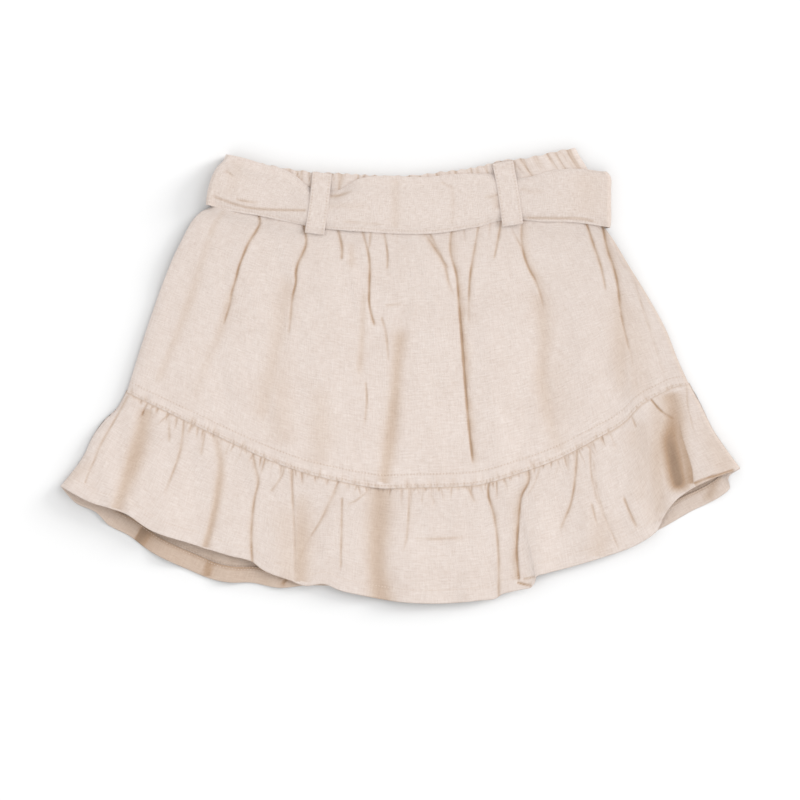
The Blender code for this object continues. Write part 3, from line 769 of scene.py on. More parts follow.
@dataclass(frozen=True)
class ClothFinish:
    """A cloth's colours and surface.

    light and dark are the colours of raised and sunk threads, and the rest the weave's own
    sizes. The last three are painted shade: what the colours keep under the painted shade of
    a fold, of its deepest part and of its shadow.
    """

    name: str
    light: Colour
    dark: Colour
    roughness: float
    pitch: float
    weft: float
    warp: float
    mottle: float
    relief: float
    fineness: float = 1.0
    # painted shade: tints for a fold, for its deepest part and for its shadow
    painted_fold_shade: Colour = (0.857, 0.788, 0.711)
    slit: Colour = (0.753, 0.647, 0.544)
    shadow: Colour = (0.74, 0.74, 0.74)

    def material(self) -> Material:
        """Make the material, which reads the cloth's own UV map and marks."""
        material, nodes = new_material(self.name, {
            "Roughness": self.roughness, "Specular IOR Level": 0.15, "Sheen Weight": 0.12,
            "Sheen Roughness": 0.6})
        values = {"Pitch": self.pitch, "Weft slub": self.weft, "Warp slub": self.warp,
                  "Mottle": self.mottle, "Fineness": self.fineness}
        groups = bpy.data.node_groups
        weave = nodes.add("Group", values, node_tree=groups["weave"]).node.outputs
        creases = nodes.add("Group", {}, node_tree=groups["creases, stitch pits and painted shade"]).node.outputs
        # painted shade: the garment's inside and its folds get the fold tint, stitch pits and the
        # deepest parts of creases the deeper tint, and the deepest folds the painted shadow
        inside = nodes.add("NewGeometry", {}, "Backfacing")
        folded = nodes.math("MULTIPLY_ADD", inside, 0.95, creases["Fold"], clamp=True)
        sunk = nodes.math("MULTIPLY_ADD", creases["Pit"], 0.8, creases["Deep"])
        colour = nodes.mix(weave["Shade"], self.dark, self.light)
        for share, tint in ((folded, self.painted_fold_shade), (sunk, self.slit),
                            (creases["Shadow"], self.shadow)):
            colour = nodes.mix(share, colour, tint, "MULTIPLY")
        height = nodes.math("MULTIPLY_ADD", creases["Slit"], -2.0, weave["Height"])
        normal = nodes.add("Bump", {"Distance": self.relief * MM, "Height": height}, "Normal")
        shader = nodes.tree.nodes["Principled BSDF"].inputs
        nodes.feed(shader["Base Color"], colour)
        nodes.feed(shader["Normal"], normal)
        return material


@dataclass(frozen=True)
class ThreadFinish:
    """Sewing thread: its colours along its twist."""

    name: str
    light: Colour
    dark: Colour

    def material(self) -> Material:
        """Make the material, with a fine twist along the thread."""
        material, nodes = new_material(self.name, {"Roughness": 0.7})
        place = nodes.add("TexCoord", {}, "Object")
        twist = nodes.add("TexWave", {"Scale": 900.0, "Distortion": 1.5, "Vector": place}, "Fac")
        nodes.feed(nodes.tree.nodes["Principled BSDF"].inputs["Base Color"],
                   nodes.mix(twist, self.dark, self.light))
        return material


LINEN = ClothFinish("linen", (0.810, 0.726, 0.677), (0.643, 0.534, 0.469),
                    0.92, 0.56, 1.1, 0.9, 0.5, 0.26)
BELT_LINEN = replace(LINEN, name="belt linen", weft=1.4, warp=1.3, mottle=0.2, fineness=1.6)
JERSEY = ClothFinish("jersey", (0.75, 0.66, 0.60), (0.69, 0.59, 0.53),
                     0.95, 0.8, 0.2, 0.5, 0.3, 0.10)
THREAD = ThreadFinish("thread", (0.76, 0.66, 0.58), (0.66, 0.55, 0.47))

# ------------------------------------------------------------------ outlines
LEFT_SIDE = line(-119, 115, -122.5, 109.5, -129, 106, -143.5, 84, -153.5, 61, -162.5, 36, -170.5,
    11.5, -177.5, -11)
RIGHT_SIDE = line(131.5, 101.5, 133, 96, 138, 88.5, 149.5, 69.5, 162, 49.5, 173.5, 28, 180.5, 10,
    188, -6.5)
LEFT_FOLD = line(-177.5, -11, -183.5, -22, -193, -31, -200, -41, -205.5, -52.5, -213, -63, -220.5,
    -72)
RIGHT_FOLD = line(188, -6.5, 195.5, -20, 203.5, -36, 212.5, -49, 221, -60.5)
WAIST_SEAM = line(-119, 115, -93, 108.5, -49, 101.5, 0, 98.5, 42, 101, 91, 104.5, 131.5, 101.5)
RUFFLE_SEAM = line(-177.5, -11, -156, -21.5, -130, -34, -104, -46.5, -91, -52.5, -65, -62.5, -39,
    -69, -13, -73.5, 13, -73, 35, -72.5, 49, -71.5, 75, -64.5, 101, -55, 127, -41.5, 146, -30, 156,
    -19.5, 169, -12, 179, -7.5, 188, -6.5)
FRONT_HEM = line(-220.5, -72, -201.5, -82, -178, -89.5, -162.5, -100, -136.5, -109, -110.5, -117,
    -95, -121.5, -90, -125.5, -71.5, -133, -62, -136.5, -49, -135.5, -39, -139.5, -26, -142.5, 0,
    -147, 26, -148, 52, -146, 62.5, -144.5, 66, -142, 72, -140.4, 79, -138.8, 85.2, -137.2, 87.4,
    -134.2, 88.4, -130.6, 94, -128.7, 108, -125, 130, -118.5, 156, -108.5, 166.5, -101, 172, -90,
    178, -82, 186, -75.5, 201.5, -67.5, 221, -60.5)
BACK_HEM = line(-220.5, -72, -211, -82.5, -196.5, -89.5, -190, -96.5, -176, -104, -162.5, -114,
    -136.5, -126.5, -121.5, -132.5, -110.5, -134.5, -97.5, -134.5, -78, -138, -62, -136.5, -39,
    -137, 0, -142.5, 39, -143.5, 65, -138, 104, -122, 130, -114.5, 166.5, -101, 188.5, -88.5, 209.5,
    -77.5, 214, -73.5, 213, -66.5, 221, -60.5)
BAND_LEFT = line(-109.5, 137.5, -115.5, 127.5, -119, 115)
BAND_RIGHT = line(113, 147, 117, 139.5, 121, 133, 127, 116, 131.5, 101.5)
BAND_TOP = line(-109.5, 137.5, -89.5, 137, -78, 134.5, -65, 132.5, -57, 131.5, -45, 131, -19.5,
    129.5, 0, 129, 19.5, 130.5, 26, 131.5, 39, 133, 45.5, 134, 58.5, 137, 65, 139, 78, 140, 91,
    142.5, 104, 145.5, 113, 147)
BELT_LEFT = line(-112.5, 143, -114.5, 138.5, -118, 135, -121, 130, -123.5, 123, -125, 115.5, -125.5,
    110.5)
BELT_RIGHT = line(134, 131.5, 136, 129, 136.5, 120, 136.5, 110.5, 136.5, 99.5, 136, 95.5)
BELT_TOP = line(-112.5, 143, -102.5, 141, -89.5, 137, -71.5, 131.5, -65, 127, -58.5, 121.5, -50,
    119, -44, 119, -38, 120.5, -31, 125, -27, 127, -19.5, 128.5, 19.5, 128.5, 32.5, 130, 52, 130.5,
    61, 130, 68, 127.5, 76, 127.5, 84.5, 128.5, 97.5, 132.5, 107, 133.5, 119, 133.5, 130, 132, 134,
    131.5)
BELT_BOTTOM = line(-125.5, 110.5, -113, 107, -93, 103.5, -71.5, 99, -62, 97, -41, 94, -26, 93, 0,
    91.5, 26, 92, 42, 94.5, 51, 96, 65, 100, 72, 100.5, 79.5, 100.5, 91, 99.5, 112, 99, 130, 96.5,
    136, 95.5)
BELT_BACK_TOP = line(-112.5, 143, -85, 131, -60, 124.5, 0, 122, 70, 124, 105, 128.5, 134, 131.5)
BELT_BACK_BOTTOM = line(-125.5, 110.5, -85, 98.5, -60, 93, 0, 89, 70, 90.5, 136, 95.5)

# ------------------------------------------------------------------ creases
# Each has its line's x and y in turn, three darks, two widths, head and tail, and some of them
# also dip and deep. The darks are painted shade, on top of the shading from each crease's depth.
PANEL_CREASES = (
    soft((-114, 106.5, -118.5, 101, -122, 94, -124, 88), 0.09, 0.09, 0.1, 1.5, 2.3, 1, 4),
    soft((-122, 93, -124, 88, -136.5, 49, -147.5, 19.5, -158.5, -7), 0.08, 0.1, 0.09, 2.6, 3.6, 10,
      8),
    crisp((-91.5, 104.5, -91, 98, -93.5, 93, -98, 86, -101.5, 78, -104.5, 70, -106.5, 62, -109, 54,
      -110.5, 45.5, -112.5, 39, -115.5, 29), 0.38, 0.42, 0.28, 1.3, 1.2, 0.5, 8),
    soft((-109, 54, -116.5, 29, -124, 10.5, -130.5, -6, -135, -23.5), 0.14, 0.06, 0.05, 3, 3, 3,
      10),
    crisp((-62.5, 98, -61, 84.5, -63.5, 78, -66.5, 71.5, -67.5, 66.5, -67.5, 60.5, -69.5, 52, -71.5,
      32.5, -73, 23), 0.36, 0.43, 0.2, 1.3, 1.5, 0.5, 10),
    soft((-69, 67.5, -72.5, 54.5, -78, 28.5, -83, 2.5, -87, -16.5, -91, -33), 0.09, 0.1, 0.1, 7, 5,
      12, 10),
    crisp((-40.5, 95.5, -40, 93.5, -37.5, 81, -38, 73.5), 0.34, 0.38, 0.36, 1.3, 1.1, 0.5, 3),
    soft((-31.5, 88, -31.5, 67), 0.07, 0.1, 0.1, 2, 2.3, 4, 5),
    crisp((-24.5, 94, -20, 76, -20, 55, -20, 47, -18.5, 39, -16, 30.5), 0.25, 0.46, 0.36, 1.1, 1,
      0.5, 4),
    crisp((-19, 94, -20, 81), 0.15, 0.2, 0.2, 1, 1, 0.5, 3),
    crisp((-12.5, 39, -9.5, 29, -8, 16, -7.5, 6.5), 0.2, 0.24, 0.14, 1, 1, 3, 6),
    crisp((-10.5, 94, -8, 76, -8.5, 67), 0.2, 0.28, 0.27, 1, 1, 0.5, 4),
    soft((-23, 58.5, -24.5, 26, -26.5, -3), 0.1, 0.13, 0.14, 2.3, 2.3, 10, 10),
    crisp((-22.5, -3, -21.5, -13, -23.5, -36), 0.22, 0.23, 0.14, 1, 1, 3, 8),
    soft((1, 34.5, 0.5, 29, -1.5, 10, -3.5, -16, -6.5, -42, -10.5, -70), 0.18, 0.24, 0.21, 4.5, 4.5,
      12, 0.1),
    crisp((15, 93.5, 24, 80, 32, 67.5), 0.24, 0.29, 0.27, 2, 1.5, 0.5, 4),
    crisp((19, 92.5, 30, 68, 32, 58.5, 36, 50), 0.23, 0.27, 0.13, 2, 1.2, 0.5, 6),
    crisp((33.5, 95.5, 32.5, 81, 36.5, 65, 38, 49, 39, 36, 40, 23, 41, 10, 43, -16, 45.5, -42, 47.5,
      -59), 0.3, 0.6, 0.45, 1, 3, 0.5, 6),
    crisp((51, 98, 48, 80, 45.5, 65, 44.5, 45.5, 44.5, 29), 0.2, 0.38, 0.14, 1, 1.8, 0.5, 8),
    crisp((66, 102, 62.5, 82.5, 60.5, 73.5), 0.33, 0.3, 0.2, 1, 1, 0.5, 4),
    crisp((71, 98, 73, 93.5, 80, 81), 0.04, 0.12, 0.24, 1, 1.6, 0.5, 3),
    crisp((79, 102, 79, 84.5, 83.5, 69, 87.5, 62, 90.5, 54, 94, 39), 0.25, 0.38, 0.22, 1.2, 3.4,
      0.5, 8),
    soft((89, 58.5, 93.5, 29, 92.5, -3, 96, -23, 104.5, -52), 0.13, 0.14, 0.1, 5.5, 6, 12, 6),
    crisp((120, 101, 125.5, 84.5, 130.5, 69.5, 134, 52), 0.36, 0.34, 0.2, 1.4, 1.3, 0.5, 7),
    crisp((131, 98, 135.5, 78, 138, 71.5, 140.5, 62, 143.5, 39, 147, 23, 150.5, 10, 154, -13), 0.38,
      0.35, 0.1, 1.6, 2.8, 0.5, 8),
    soft((142, 62, 143.5, 40, 144, 10, 144, -18), 0.12, 0.14, 0.1, 7, 5, 14, 14),
    crisp((138.5, 88, 142.5, 74.5, 150.5, 64.5, 155.5, 49, 162, 29, 167, 13, 174, -10), 0.09, 0.12,
      0.06, 1, 2, 4, 2),
    crisp((-11, 44.5, -4.5, 45.5, 2, 46), 0.13, 0.13, 0.13, 1.2, 1.2, 3, 3),
    # broad soft painted shading, with little depth
    soft((-79, 30, -78, 0, -76, -48), 0.05, 0.08, 0.08, 8, 8, 20, 8, 0, 0.2),
    soft((-52, 0, -51, -30, -52, -62), 0.06, 0.09, 0.08, 8, 7, 16, 6, 0, 0.2),
    soft((98, 22, 99, -10, 102, -44), 0.05, 0.06, 0.06, 10, 9, 18, 8, 0, 0.2),
    soft((142, 56, 150, 20, 156, -18), 0.08, 0.08, 0.07, 12, 10, 18, 8, 0, 0.2),
)
RUFFLE_CREASES = (
    soft((-164.5, -20.5, -170.5, -46, -176.5, -65.5, -184, -87), 0.23, 0.28, 0.22, 4.5, 6, 3, 0.1,
      0.8),
    crisp((-165, -19.5, -168, -28), 0.14, 0.46, 0.42, 1, 1.2, 0.5, 3),
    crisp((-150, -23.5, -149.5, -45.5), 0.1, 0.2, 0.2, 1, 1.1, 0.5, 6),
    crisp((-140, -27.5, -141, -39, -142.5, -49, -148, -65, -154, -81), 0.2, 0.23, 0.14, 1.2, 1.3,
      0.5, 12),
    crisp((-126, -34, -129.5, -55), 0.15, 0.19, 0.17, 1.3, 1.1, 0.5, 6),
    soft((-121, -36, -116.5, -55, -118.5, -78, -122.5, -97.5, -126.5, -112), 0.15, 0.24, 0.3, 2.5,
      2.8, 0.5, 0.1, 0.3),
    crisp((-109.5, -42.5, -115, -55), 0.11, 0.12, 0.11, 1, 1, 0.5, 4),
    crisp((-77.5, -56, -75.5, -60, -81, -72, -85, -77), 0.16, 0.18, 0.2, 1, 1, 0.5, 4),
    crisp((-70.5, -60, -69.5, -81, -68.5, -101, -68, -134.5), 0.24, 0.2, 0.13, 1.8, 1.3, 0.5, 0.1),
    crisp((-40, -68, -42, -75, -45, -81, -51.5, -94.5, -61.5, -110.5, -66.5, -124), 0.16, 0.2, 0.13,
      1.6, 2, 0.5, 6),
    crisp((-37.5, -78, -38, -101, -38.5, -128), 0.23, 0.24, 0.18, 1, 1.1, 3, 6),
    crisp((-17.5, -72, -24, -78, -29.5, -82, -36, -84.5), 0.11, 0.17, 0.14, 1, 1, 0.5, 4),
    soft((-12.5, -69.5, -13.5, -94, -15, -120, -12, -148), 0.23, 0.28, 0.28, 7.3, 7.3, 0.1, 0.1,
      0.3),
    crisp((6, -72, 5.5, -91, 4, -107, 1.5, -117), 0.14, 0.22, 0.12, 1, 1.2, 0.5, 8),
    crisp((15, -72, 14, -84.5), 0.08, 0.09, 0.13, 1, 1, 0.5, 4),
    crisp((22, -73, 20, -77.5, 22, -82, 20, -86), 0.11, 0.1, 0.1, 1.4, 1.4, 0.5, 3),
    crisp((43.5, -71, 49.5, -84.5), 0.23, 0.24, 0.16, 1.3, 1.2, 0.5, 4),
    crisp((91.5, -57, 86, -73, 81.5, -79), 0.15, 0.1, 0.1, 1, 1, 0.5, 4),
    crisp((106, -50.5, 109, -62), 0.2, 0.2, 0.12, 1, 1.3, 0.5, 4),
    crisp((115, -46, 113.5, -68, 110, -86, 106.5, -94, 103.5, -102), 0.29, 0.29, 0.25, 1.3, 1.3,
      0.5, 6),
    crisp((123, -42, 124.5, -67, 130, -86.5, 136, -99, 142, -113.5), 0.19, 0.14, 0.12, 1, 1.4, 0.5,
      0.1),
    crisp((125, -52, 127, -71.5, 132.5, -91, 137, -105.5), 0.12, 0.11, 0.12, 1.2, 1.4, 6, 6),
    crisp((123.5, -81, 129, -101.5), 0.18, 0.2, 0.14, 1.3, 1.5, 4, 4),
    crisp((144.5, -78, 149, -89, 154.5, -101), 0.24, 0.31, 0.21, 1.1, 1.2, 3, 4),
    crisp((149, -24.5, 154, -36), 0.1, 0.19, 0.21, 1.2, 2, 0.5, 4),
    crisp((135.5, -36.5, 141, -49.5), 0.11, 0.1, 0.1, 1, 1, 0.5, 4),
    soft((152, -31.5, 159, -61, 169, -94.5), 0.1, 0.06, 0.08, 8, 4, 6, 0.1),
    crisp((162.5, -15.5, 169, -23, 174, -26.5, 179, -29.5), 0.37, 0.43, 0.24, 1, 1, 0.5, 4),
    soft((174.5, -11, 177.2, -22.7, 176.6, -32.5, 175.2, -42.3, 176.8, -52, 178.6, -61.7, 181, -72,
      182, -78.5), 0.32, 0.58, 0.72, 6.4, 7.2, 3, 9, 0.3, 0.5),
    # broad soft painted shading, with little depth
    soft((168, -14, 168.5, -38, 167, -62, 169, -92), 0.14, 0.18, 0.14, 7, 7, 8, 4, 0, 0.3),
    soft((-64, -74, -64.5, -100, -65.5, -134), 0.12, 0.19, 0.22, 5, 7, 10, 0.1, 0, 0.3),
    # painted shadow under the right flap's hem
    crisp((190, -70.4, 197, -67.4, 208, -64, 217, -61.2), 0.5, 0.46, 0.36, 2.6, 0.5, 1, 2, 0, 0.6),
    crisp((186, -7, 186.5, -19.5, 189.5, -32.5, 192.5, -43.5), 0.16, 0.12, 0.11, 1, 1.3, 0.5, 6),
    crisp((-176.5, -13.5, -185, -29, -195, -47, -199, -57, -202.5, -65, -204.5, -71), 0.2, 0.2,
      0.16, 1, 1, 0.5, 1),
    soft((200.5, -36.5, 206, -49, 210, -67), 0.1, 0.11, 0.06, 2.5, 5, 4, 0.1),
    crisp((8, -106.5, 20, -106.5, 31, -106, 47, -105.3), 0.08, 0.21, 0.09, 1.2, 1.2, 4, 8),
    soft((-220.5, -70, -208.5, -61.5, -197.5, -56.5), 0.07, 0.08, 0.05, 5, 3, 4, 4),
    crisp((-96, -49, -93, -63, -92, -66.5, -94.5, -81, -96.5, -104, -95.5, -126), 0.24, 0.29, 0.31,
      1.7, 1.4, 0.5, 0.1),
    crisp((58.5, -66, 57, -75, 61, -91, 63.5, -110.5, 64, -144), 0.37, 0.25, 0.22, 1.2, 1.7, 0.5,
      0.1),
    crisp((83, -60, 84, -67, 78.5, -79.5, 77.5, -88, 76.5, -101, 75.8, -114, 77.3, -133.5), 0.31,
      0.42, 0.46, 3.2, 0.8, 0.5, 2),
    # painted shadow that the right flap casts to its left
    soft((176.5, -9, 179.4, -22.7, 181.4, -32.5, 183.6, -42.3, 186.6, -52, 189.2, -61.7, 190, -71),
      0.24, 0.4, 0.46, 9, 0.5, 4, 1, 0, 0.35),
    crisp((75.5, -134.6, 80, -135.8, 85.6, -136.9), 0.34, 0.38, 0.3, 0.5, 2.2, 1, 1),
    # broad soft painted shading, with little depth
    soft((157, -26, 160, -55, 156, -88), 0.08, 0.09, 0.07, 10, 9, 8, 12, 0, 0.2),
    soft((194, -22, 205, -46, 213, -63), 0.06, 0.09, 0.12, 9, 12, 10, 0.1, 0, 0.2),
    soft((134, -84, 131, -100, 129, -118), 0.06, 0.09, 0.1, 8, 8, 12, 0.1, 0, 0.2),
    soft((-74, -78, -73, -105, -71, -134), 0.06, 0.09, 0.1, 9, 7, 14, 0.1, 0, 0.2),
    crisp((79.5, -132.3, 84, -131.4, 88, -130.6), 0.3, 0.28, 0.2, 1.2, 0.4, 1, 1),
)
BACK_CREASES = (
    # painted shadow of the front hem on the back
    soft((-167, -97, -170.5, -103.5, -174.5, -109.5), 0.6, 0.66, 0.6, 0.4, 6, 1, 1),
    crisp((-106.5, -115, -107.5, -120, -109.5, -125.5), 0.3, 0.6, 0.5, 1, 1, 3, 2),
    soft((-122, -104, -123.5, -120, -125.5, -131), 0.1, 0.26, 0.26, 2.5, 2.5, 6, 0.1),
    crisp((-76, -126, -75.5, -132, -74.5, -138), 0.4, 0.7, 0.7, 1, 1, 4, 0.1),
    soft((199, -82, 203, -74, 205, -66), 0.2, 0.2, 0.2, 3, 3, 2, 4),
)
BELT_CREASES = (
    crisp((-108, 114.2, -99, 112.4, -90, 111.5), 0.16, 0.22, 0.16, 1, 1, 3, 4),
    crisp((-114, 132.5, -110, 130.5, -107.5, 126.5), 0.14, 0.16, 0.1, 1.8, 1.8, 2, 3),
    soft((-108, 141, -106, 133, -110, 120, -116, 113), 0.06, 0.05, 0.04, 5, 5, 6, 8),
    crisp((-46, 115.6, -39, 116.2, -34, 118, -28, 120), 0.28, 0.18, 0.08, 1.8, 1.2, 0.5, 5),
    soft((-46.5, 109.5, -32, 109.8, -16, 109.5), 0.07, 0.05, 0.03, 2.5, 2, 0.5, 10),
    crisp((-40, 99.8, -20, 98.2, 0, 97.2), 0.12, 0.09, 0.06, 0.9, 0.9, 6, 10),
    soft((-3, 129, -3, 112, -3, 93), 0.08, 0.08, 0.08, 3.5, 3.5, 4, 4),
    crisp((26, 125.5, 30, 123, 32.5, 121.5, 35, 124), 0.12, 0.11, 0.1, 1, 1, 2, 2),
    crisp((33.5, 124, 34.5, 108, 33.5, 96), 0.1, 0.09, 0.08, 1.6, 1.6, 3, 3),
    crisp((52, 115, 58, 115.4, 64, 117), 0.1, 0.16, 0.2, 1.4, 1.4, 5, 0.5),
    soft((60, 119, 63, 112, 64, 106), 0.1, 0.12, 0.14, 3, 2, 3, 3),
    crisp((78, 121, 84, 119, 96, 119.5), 0.12, 0.09, 0.06, 1.6, 1.6, 1, 6),
    crisp((110.5, 121.5, 120, 122.2, 128, 122), 0.08, 0.08, 0.06, 1.2, 1.2, 5, 5),
    soft((118, 134, 121, 116, 118, 99), 0.06, 0.06, 0.05, 10, 14, 6, 8),
)
LAYER_EDGES = (
    (line(-124, 117, -113, 113, -107.5, 111, -97.5, 108.5, -84.5, 107.3, -60.5, 106.6), 0.35),
    (line(79, 102.2, 100, 101.8, 116.5, 101.5, 126, 99.8), 0.32),
)
FRONT_PUFFS = tuple(Puff(*row) for row in (
    (-182, -84, 4.2, 34, 24), (-150, -98, 2, 16, 20), (-108, -115, 1.6, 13, 22), (-82, -112, 1.4,
    10, 25), (-50, 20, 0.7, 22, 60), (18, 5, 0.7, 20, 60), (60, 10, 1.4, 14, 70), (70, -20, 0.8, 14,
    40), (120, 0, 0.8, 16, 50), (10, -128, 1.2, 14, 26), (46, -128, 1.4, 12, 26), (90, -112, 2.6,
    10, 34), (122, -100, 1.4, 10, 22), (153, -88, 1, 9, 22), (205, -56, 3.4, 18, 26)
))
BACK_RIDGES = tuple(Ridge(line(*row[:4]), *row[4:]) for row in (
    (-193, -52, -196, -96, 2.2, 9), (-150, -70, -153, -124, 2.4, 10), (-112, -85, -110, -140, 2.2,
    9), (-76, -95, -76, -144, 1.6, 9), (-30, -95, -28, -146, 1.4, 10), (18, -95, 18, -150, 1.4, 10),
    (96, -80, 98, -132, 1.6, 9), (148, -82, 151, -116, 1.8, 8), (203, -42, 209, -82, 2, 8)
))
CRUMPLES = (
    Crumple(0.55, 17.0, 60.0, 2),
    Crumple(0.28, 8.0, 26.0, 7),
    Crumple(0.10, 4.2, 9.0, 13),
    Crumple(0.16, 26.0, 7.5, 19),
)
WAIST_GATHERS = Gathers(66, 4.0, 22.0, 0.35, 0.17, 11)
SEAM_PUCKERS = Gathers(120, 3.0, 9.5, 0.10, 0.17, 17)
RUFFLE_GATHERS = Gathers(110, 3.0, 17.0, 0.45, 0.32, 5)
BACK_WAIST_GATHERS = Gathers(50, 8.0, 34.0, 0.6, 0.2, 23)
BACK_RUFFLE_GATHERS = Gathers(84, 5.0, 24.0, 0.8, 0.2, 31)
RUCHES = Gathers(60, 8.0, 60.0, 0.6, 0.3, 3)


# ------------------------------------------------------------------ the lay of the cloth
def row_marks(along: Array, above: Array, rows: Sequence[float], faint: float = 0.0) -> dict:
    """Name the distance to the nearest row of stitches, and how far along it a point is.

    Args:
        along: how far along the seam each point is.
        above: how far from the seam it is.
        rows: how far from the seam the rows of stitches run.
        faint: the least distance, which makes the painted shade in the stitches' pits faint.

    Returns:
        The two marks.
    """
    aside = np.full_like(above, MARK_REACH)
    for row in rows:
        aside = np.minimum(aside, np.hypot(above - row, faint))
    return {"row_aside": aside, "row_along": along}


class Sheet:
    """One sheet while its shape is made, with its points as long rows of numbers.

    x and y are a point's place seen from above, along and below its place in the flat
    cloth, above how far it is from the lower edge, and aside how far from the garment's
    nearer side.
    """

    def __init__(self, patch: Patch, across: Array, down: Array, width: float,
                 length: float) -> None:
        """Cover a patch with cloth.

        Args:
            patch: the patch.
            across: one share of the width for each column.
            down: one share of the length for each row.
            width: the flat cloth's width.
            length: the flat cloth's length.
        """
        self.cut = np.stack(np.meshgrid(across * width, down * length), axis=2)
        self.x, self.y = patch.at(across, down).reshape(-1, 2).T.copy()
        self.along, self.below = self.cut.reshape(-1, 2).T.copy()
        self.above = length - self.below
        self.mark = CreaseMark.blank(len(self.x))
        edges = [np.vstack([side.dense(), fold.dense()[1:]])[::-1]
                 for side, fold in ((LEFT_SIDE, LEFT_FOLD), (RIGHT_SIDE, RIGHT_FOLD))]
        left, right = (np.interp(self.y, edge[:, 1], edge[:, 0]) for edge in edges)
        self.aside = np.maximum(np.minimum(self.x - left, right - self.x), 0.0)

    def press(self, creases: Sequence[Crease]) -> Array:
        """Give the depth of some creases at every point."""
        depth = np.zeros_like(self.x)
        for item in creases:
            item.press(self.x, self.y, depth, self.mark)
        return depth

    def cloth(self, height: Array, rows: Sequence[float] = (), faint: float = 0.0) -> Cloth:
        """Finish the sheet.

        Args:
            height: how high each point lies.
            rows: how far above the lower edge rows of stitches run.
            faint: the least distance to them, which makes the painted shade in their pits faint.

        Returns:
            The cloth.
        """
        marks = {"crease_aside": self.mark.aside, "crease_strength": self.mark.strength,
                 "painted_shade": self.mark.painted_shade} | row_marks(self.along, self.above, rows, faint)
        shape = self.cut.shape[:2]
        points = np.column_stack([self.x, self.y, height]).reshape(*shape, 3)
        marks = {name: value.reshape(shape) for name, value in marks.items()}
        return Cloth(points, self.cut, marks)


@dataclass(frozen=True)
class Lay:
    """Heights of the cloth above the surface that the garment lies on."""

    back: float = 0.32                  # middle of the back sheet's wall
    waist_rise: float = 3.0             # the back sheets pass over the belt and its loops
    rise_low: float = 60.0
    rise_high: float = 80.0
    front_ahead: float = 14.0
    side_edge: float = 1.1              # the side fold over the back sheet
    side_turns: Spot = (9.0, 3.0)       # how wide the front's rounded sides are
    back_turn: float = 3.0
    over_shorts: float = 2.5            # least room under the front
    over_back: float = 0.9              # the same near the sides
    side_level: float = 5.8
    side_reach: float = 45.0
    right_edge_shade_dark: float = 0.11          # painted shade along the right side, where the cloth turns from the light
    right_edge_shade_width: float = 2.4
    levels: tuple[Spot, ...] = ((-150.0, 5.6), (-110.0, 5.8), (-70.0, 6.3), (-20.0, 6.9),
                                (60.0, 7.4), (100.0, 7.5))

    def near_waist(self, y: Array) -> Array:
        """Rise from 0 to 1 towards the waist."""
        return soft_step((y - self.rise_low) / (self.rise_high - self.rise_low))

    def rise(self, y: Array) -> Array:
        """Give how far the back sheets stand up near the waist."""
        return self.waist_rise * self.near_waist(y)

    def back_height(self, sheet: Sheet) -> Array:
        """Give the back sheet's height, with the ridges of its hem and its turned sides."""
        lifted = sum(ridge.rise(sheet.x, sheet.y) for ridge in BACK_RIDGES)
        side = self.side_edge * (1.0 - round_over(sheet.aside / self.back_turn))
        return self.back + self.rise(sheet.y) + lifted + side

    def right_edge_shade(self, sheet: Sheet) -> Array:
        """Give the painted shade along the cloth's right side, where it turns from the light."""
        dark = self.right_edge_shade_dark * bell(sheet.aside / self.right_edge_shade_width)
        return np.where(sheet.x > 0.0, dark, 0.0)

    def front_height(self, sheet: Sheet, relief: Array) -> Array:
        """Lay the front sheet down to its sides, and over what lies beneath.

        Args:
            sheet: the sheet.
            relief: its creases and gathers.

        Returns:
            The height where it comes to rest.
        """
        level = np.interp(sheet.y, *np.array(self.levels).T)
        sunk = (1.0 - soft_step(sheet.aside / self.side_reach)) * (1.0 - self.near_waist(sheet.y))
        level = level - (level - self.side_level) * sunk
        level = level + sum(puff.rise(sheet.x, sheet.y) for puff in FRONT_PUFFS)
        crumpled = sum(crumple.rise(sheet.x, sheet.y) for crumple in CRUMPLES)
        height = level + crumpled * soft_step(sheet.aside / 20.0) + relief
        below = self.back + self.rise(sheet.y + self.front_ahead)
        edge = below + self.side_edge
        turn = np.minimum(sheet.aside / np.where(sheet.x < 0.0, *self.side_turns), 1.0)
        settled = edge + (height - edge) * round_over(turn)
        floor = below + np.where(turn < 1.0, self.over_back, self.over_shorts)
        return np.maximum(settled, np.minimum(floor, edge + 9.0 * turn))


LAY = Lay()


def dress(piece: Piece, material: Material, nodes: Sequence[str]) -> None:
    """Give a piece its material, its body and the solids that it stands for.

    Args:
        piece: the piece.
        material: its material.
        nodes: the solids that it stands for.
    """
    piece.data.materials.clear()
    piece.data.materials.append(material)
    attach(piece, "root")
    if nodes:
        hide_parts(*nodes)
    LOG.info("%s: %d vertices, stands for %s", piece.name, len(piece.data.vertices),
             ", ".join(nodes) or "none")


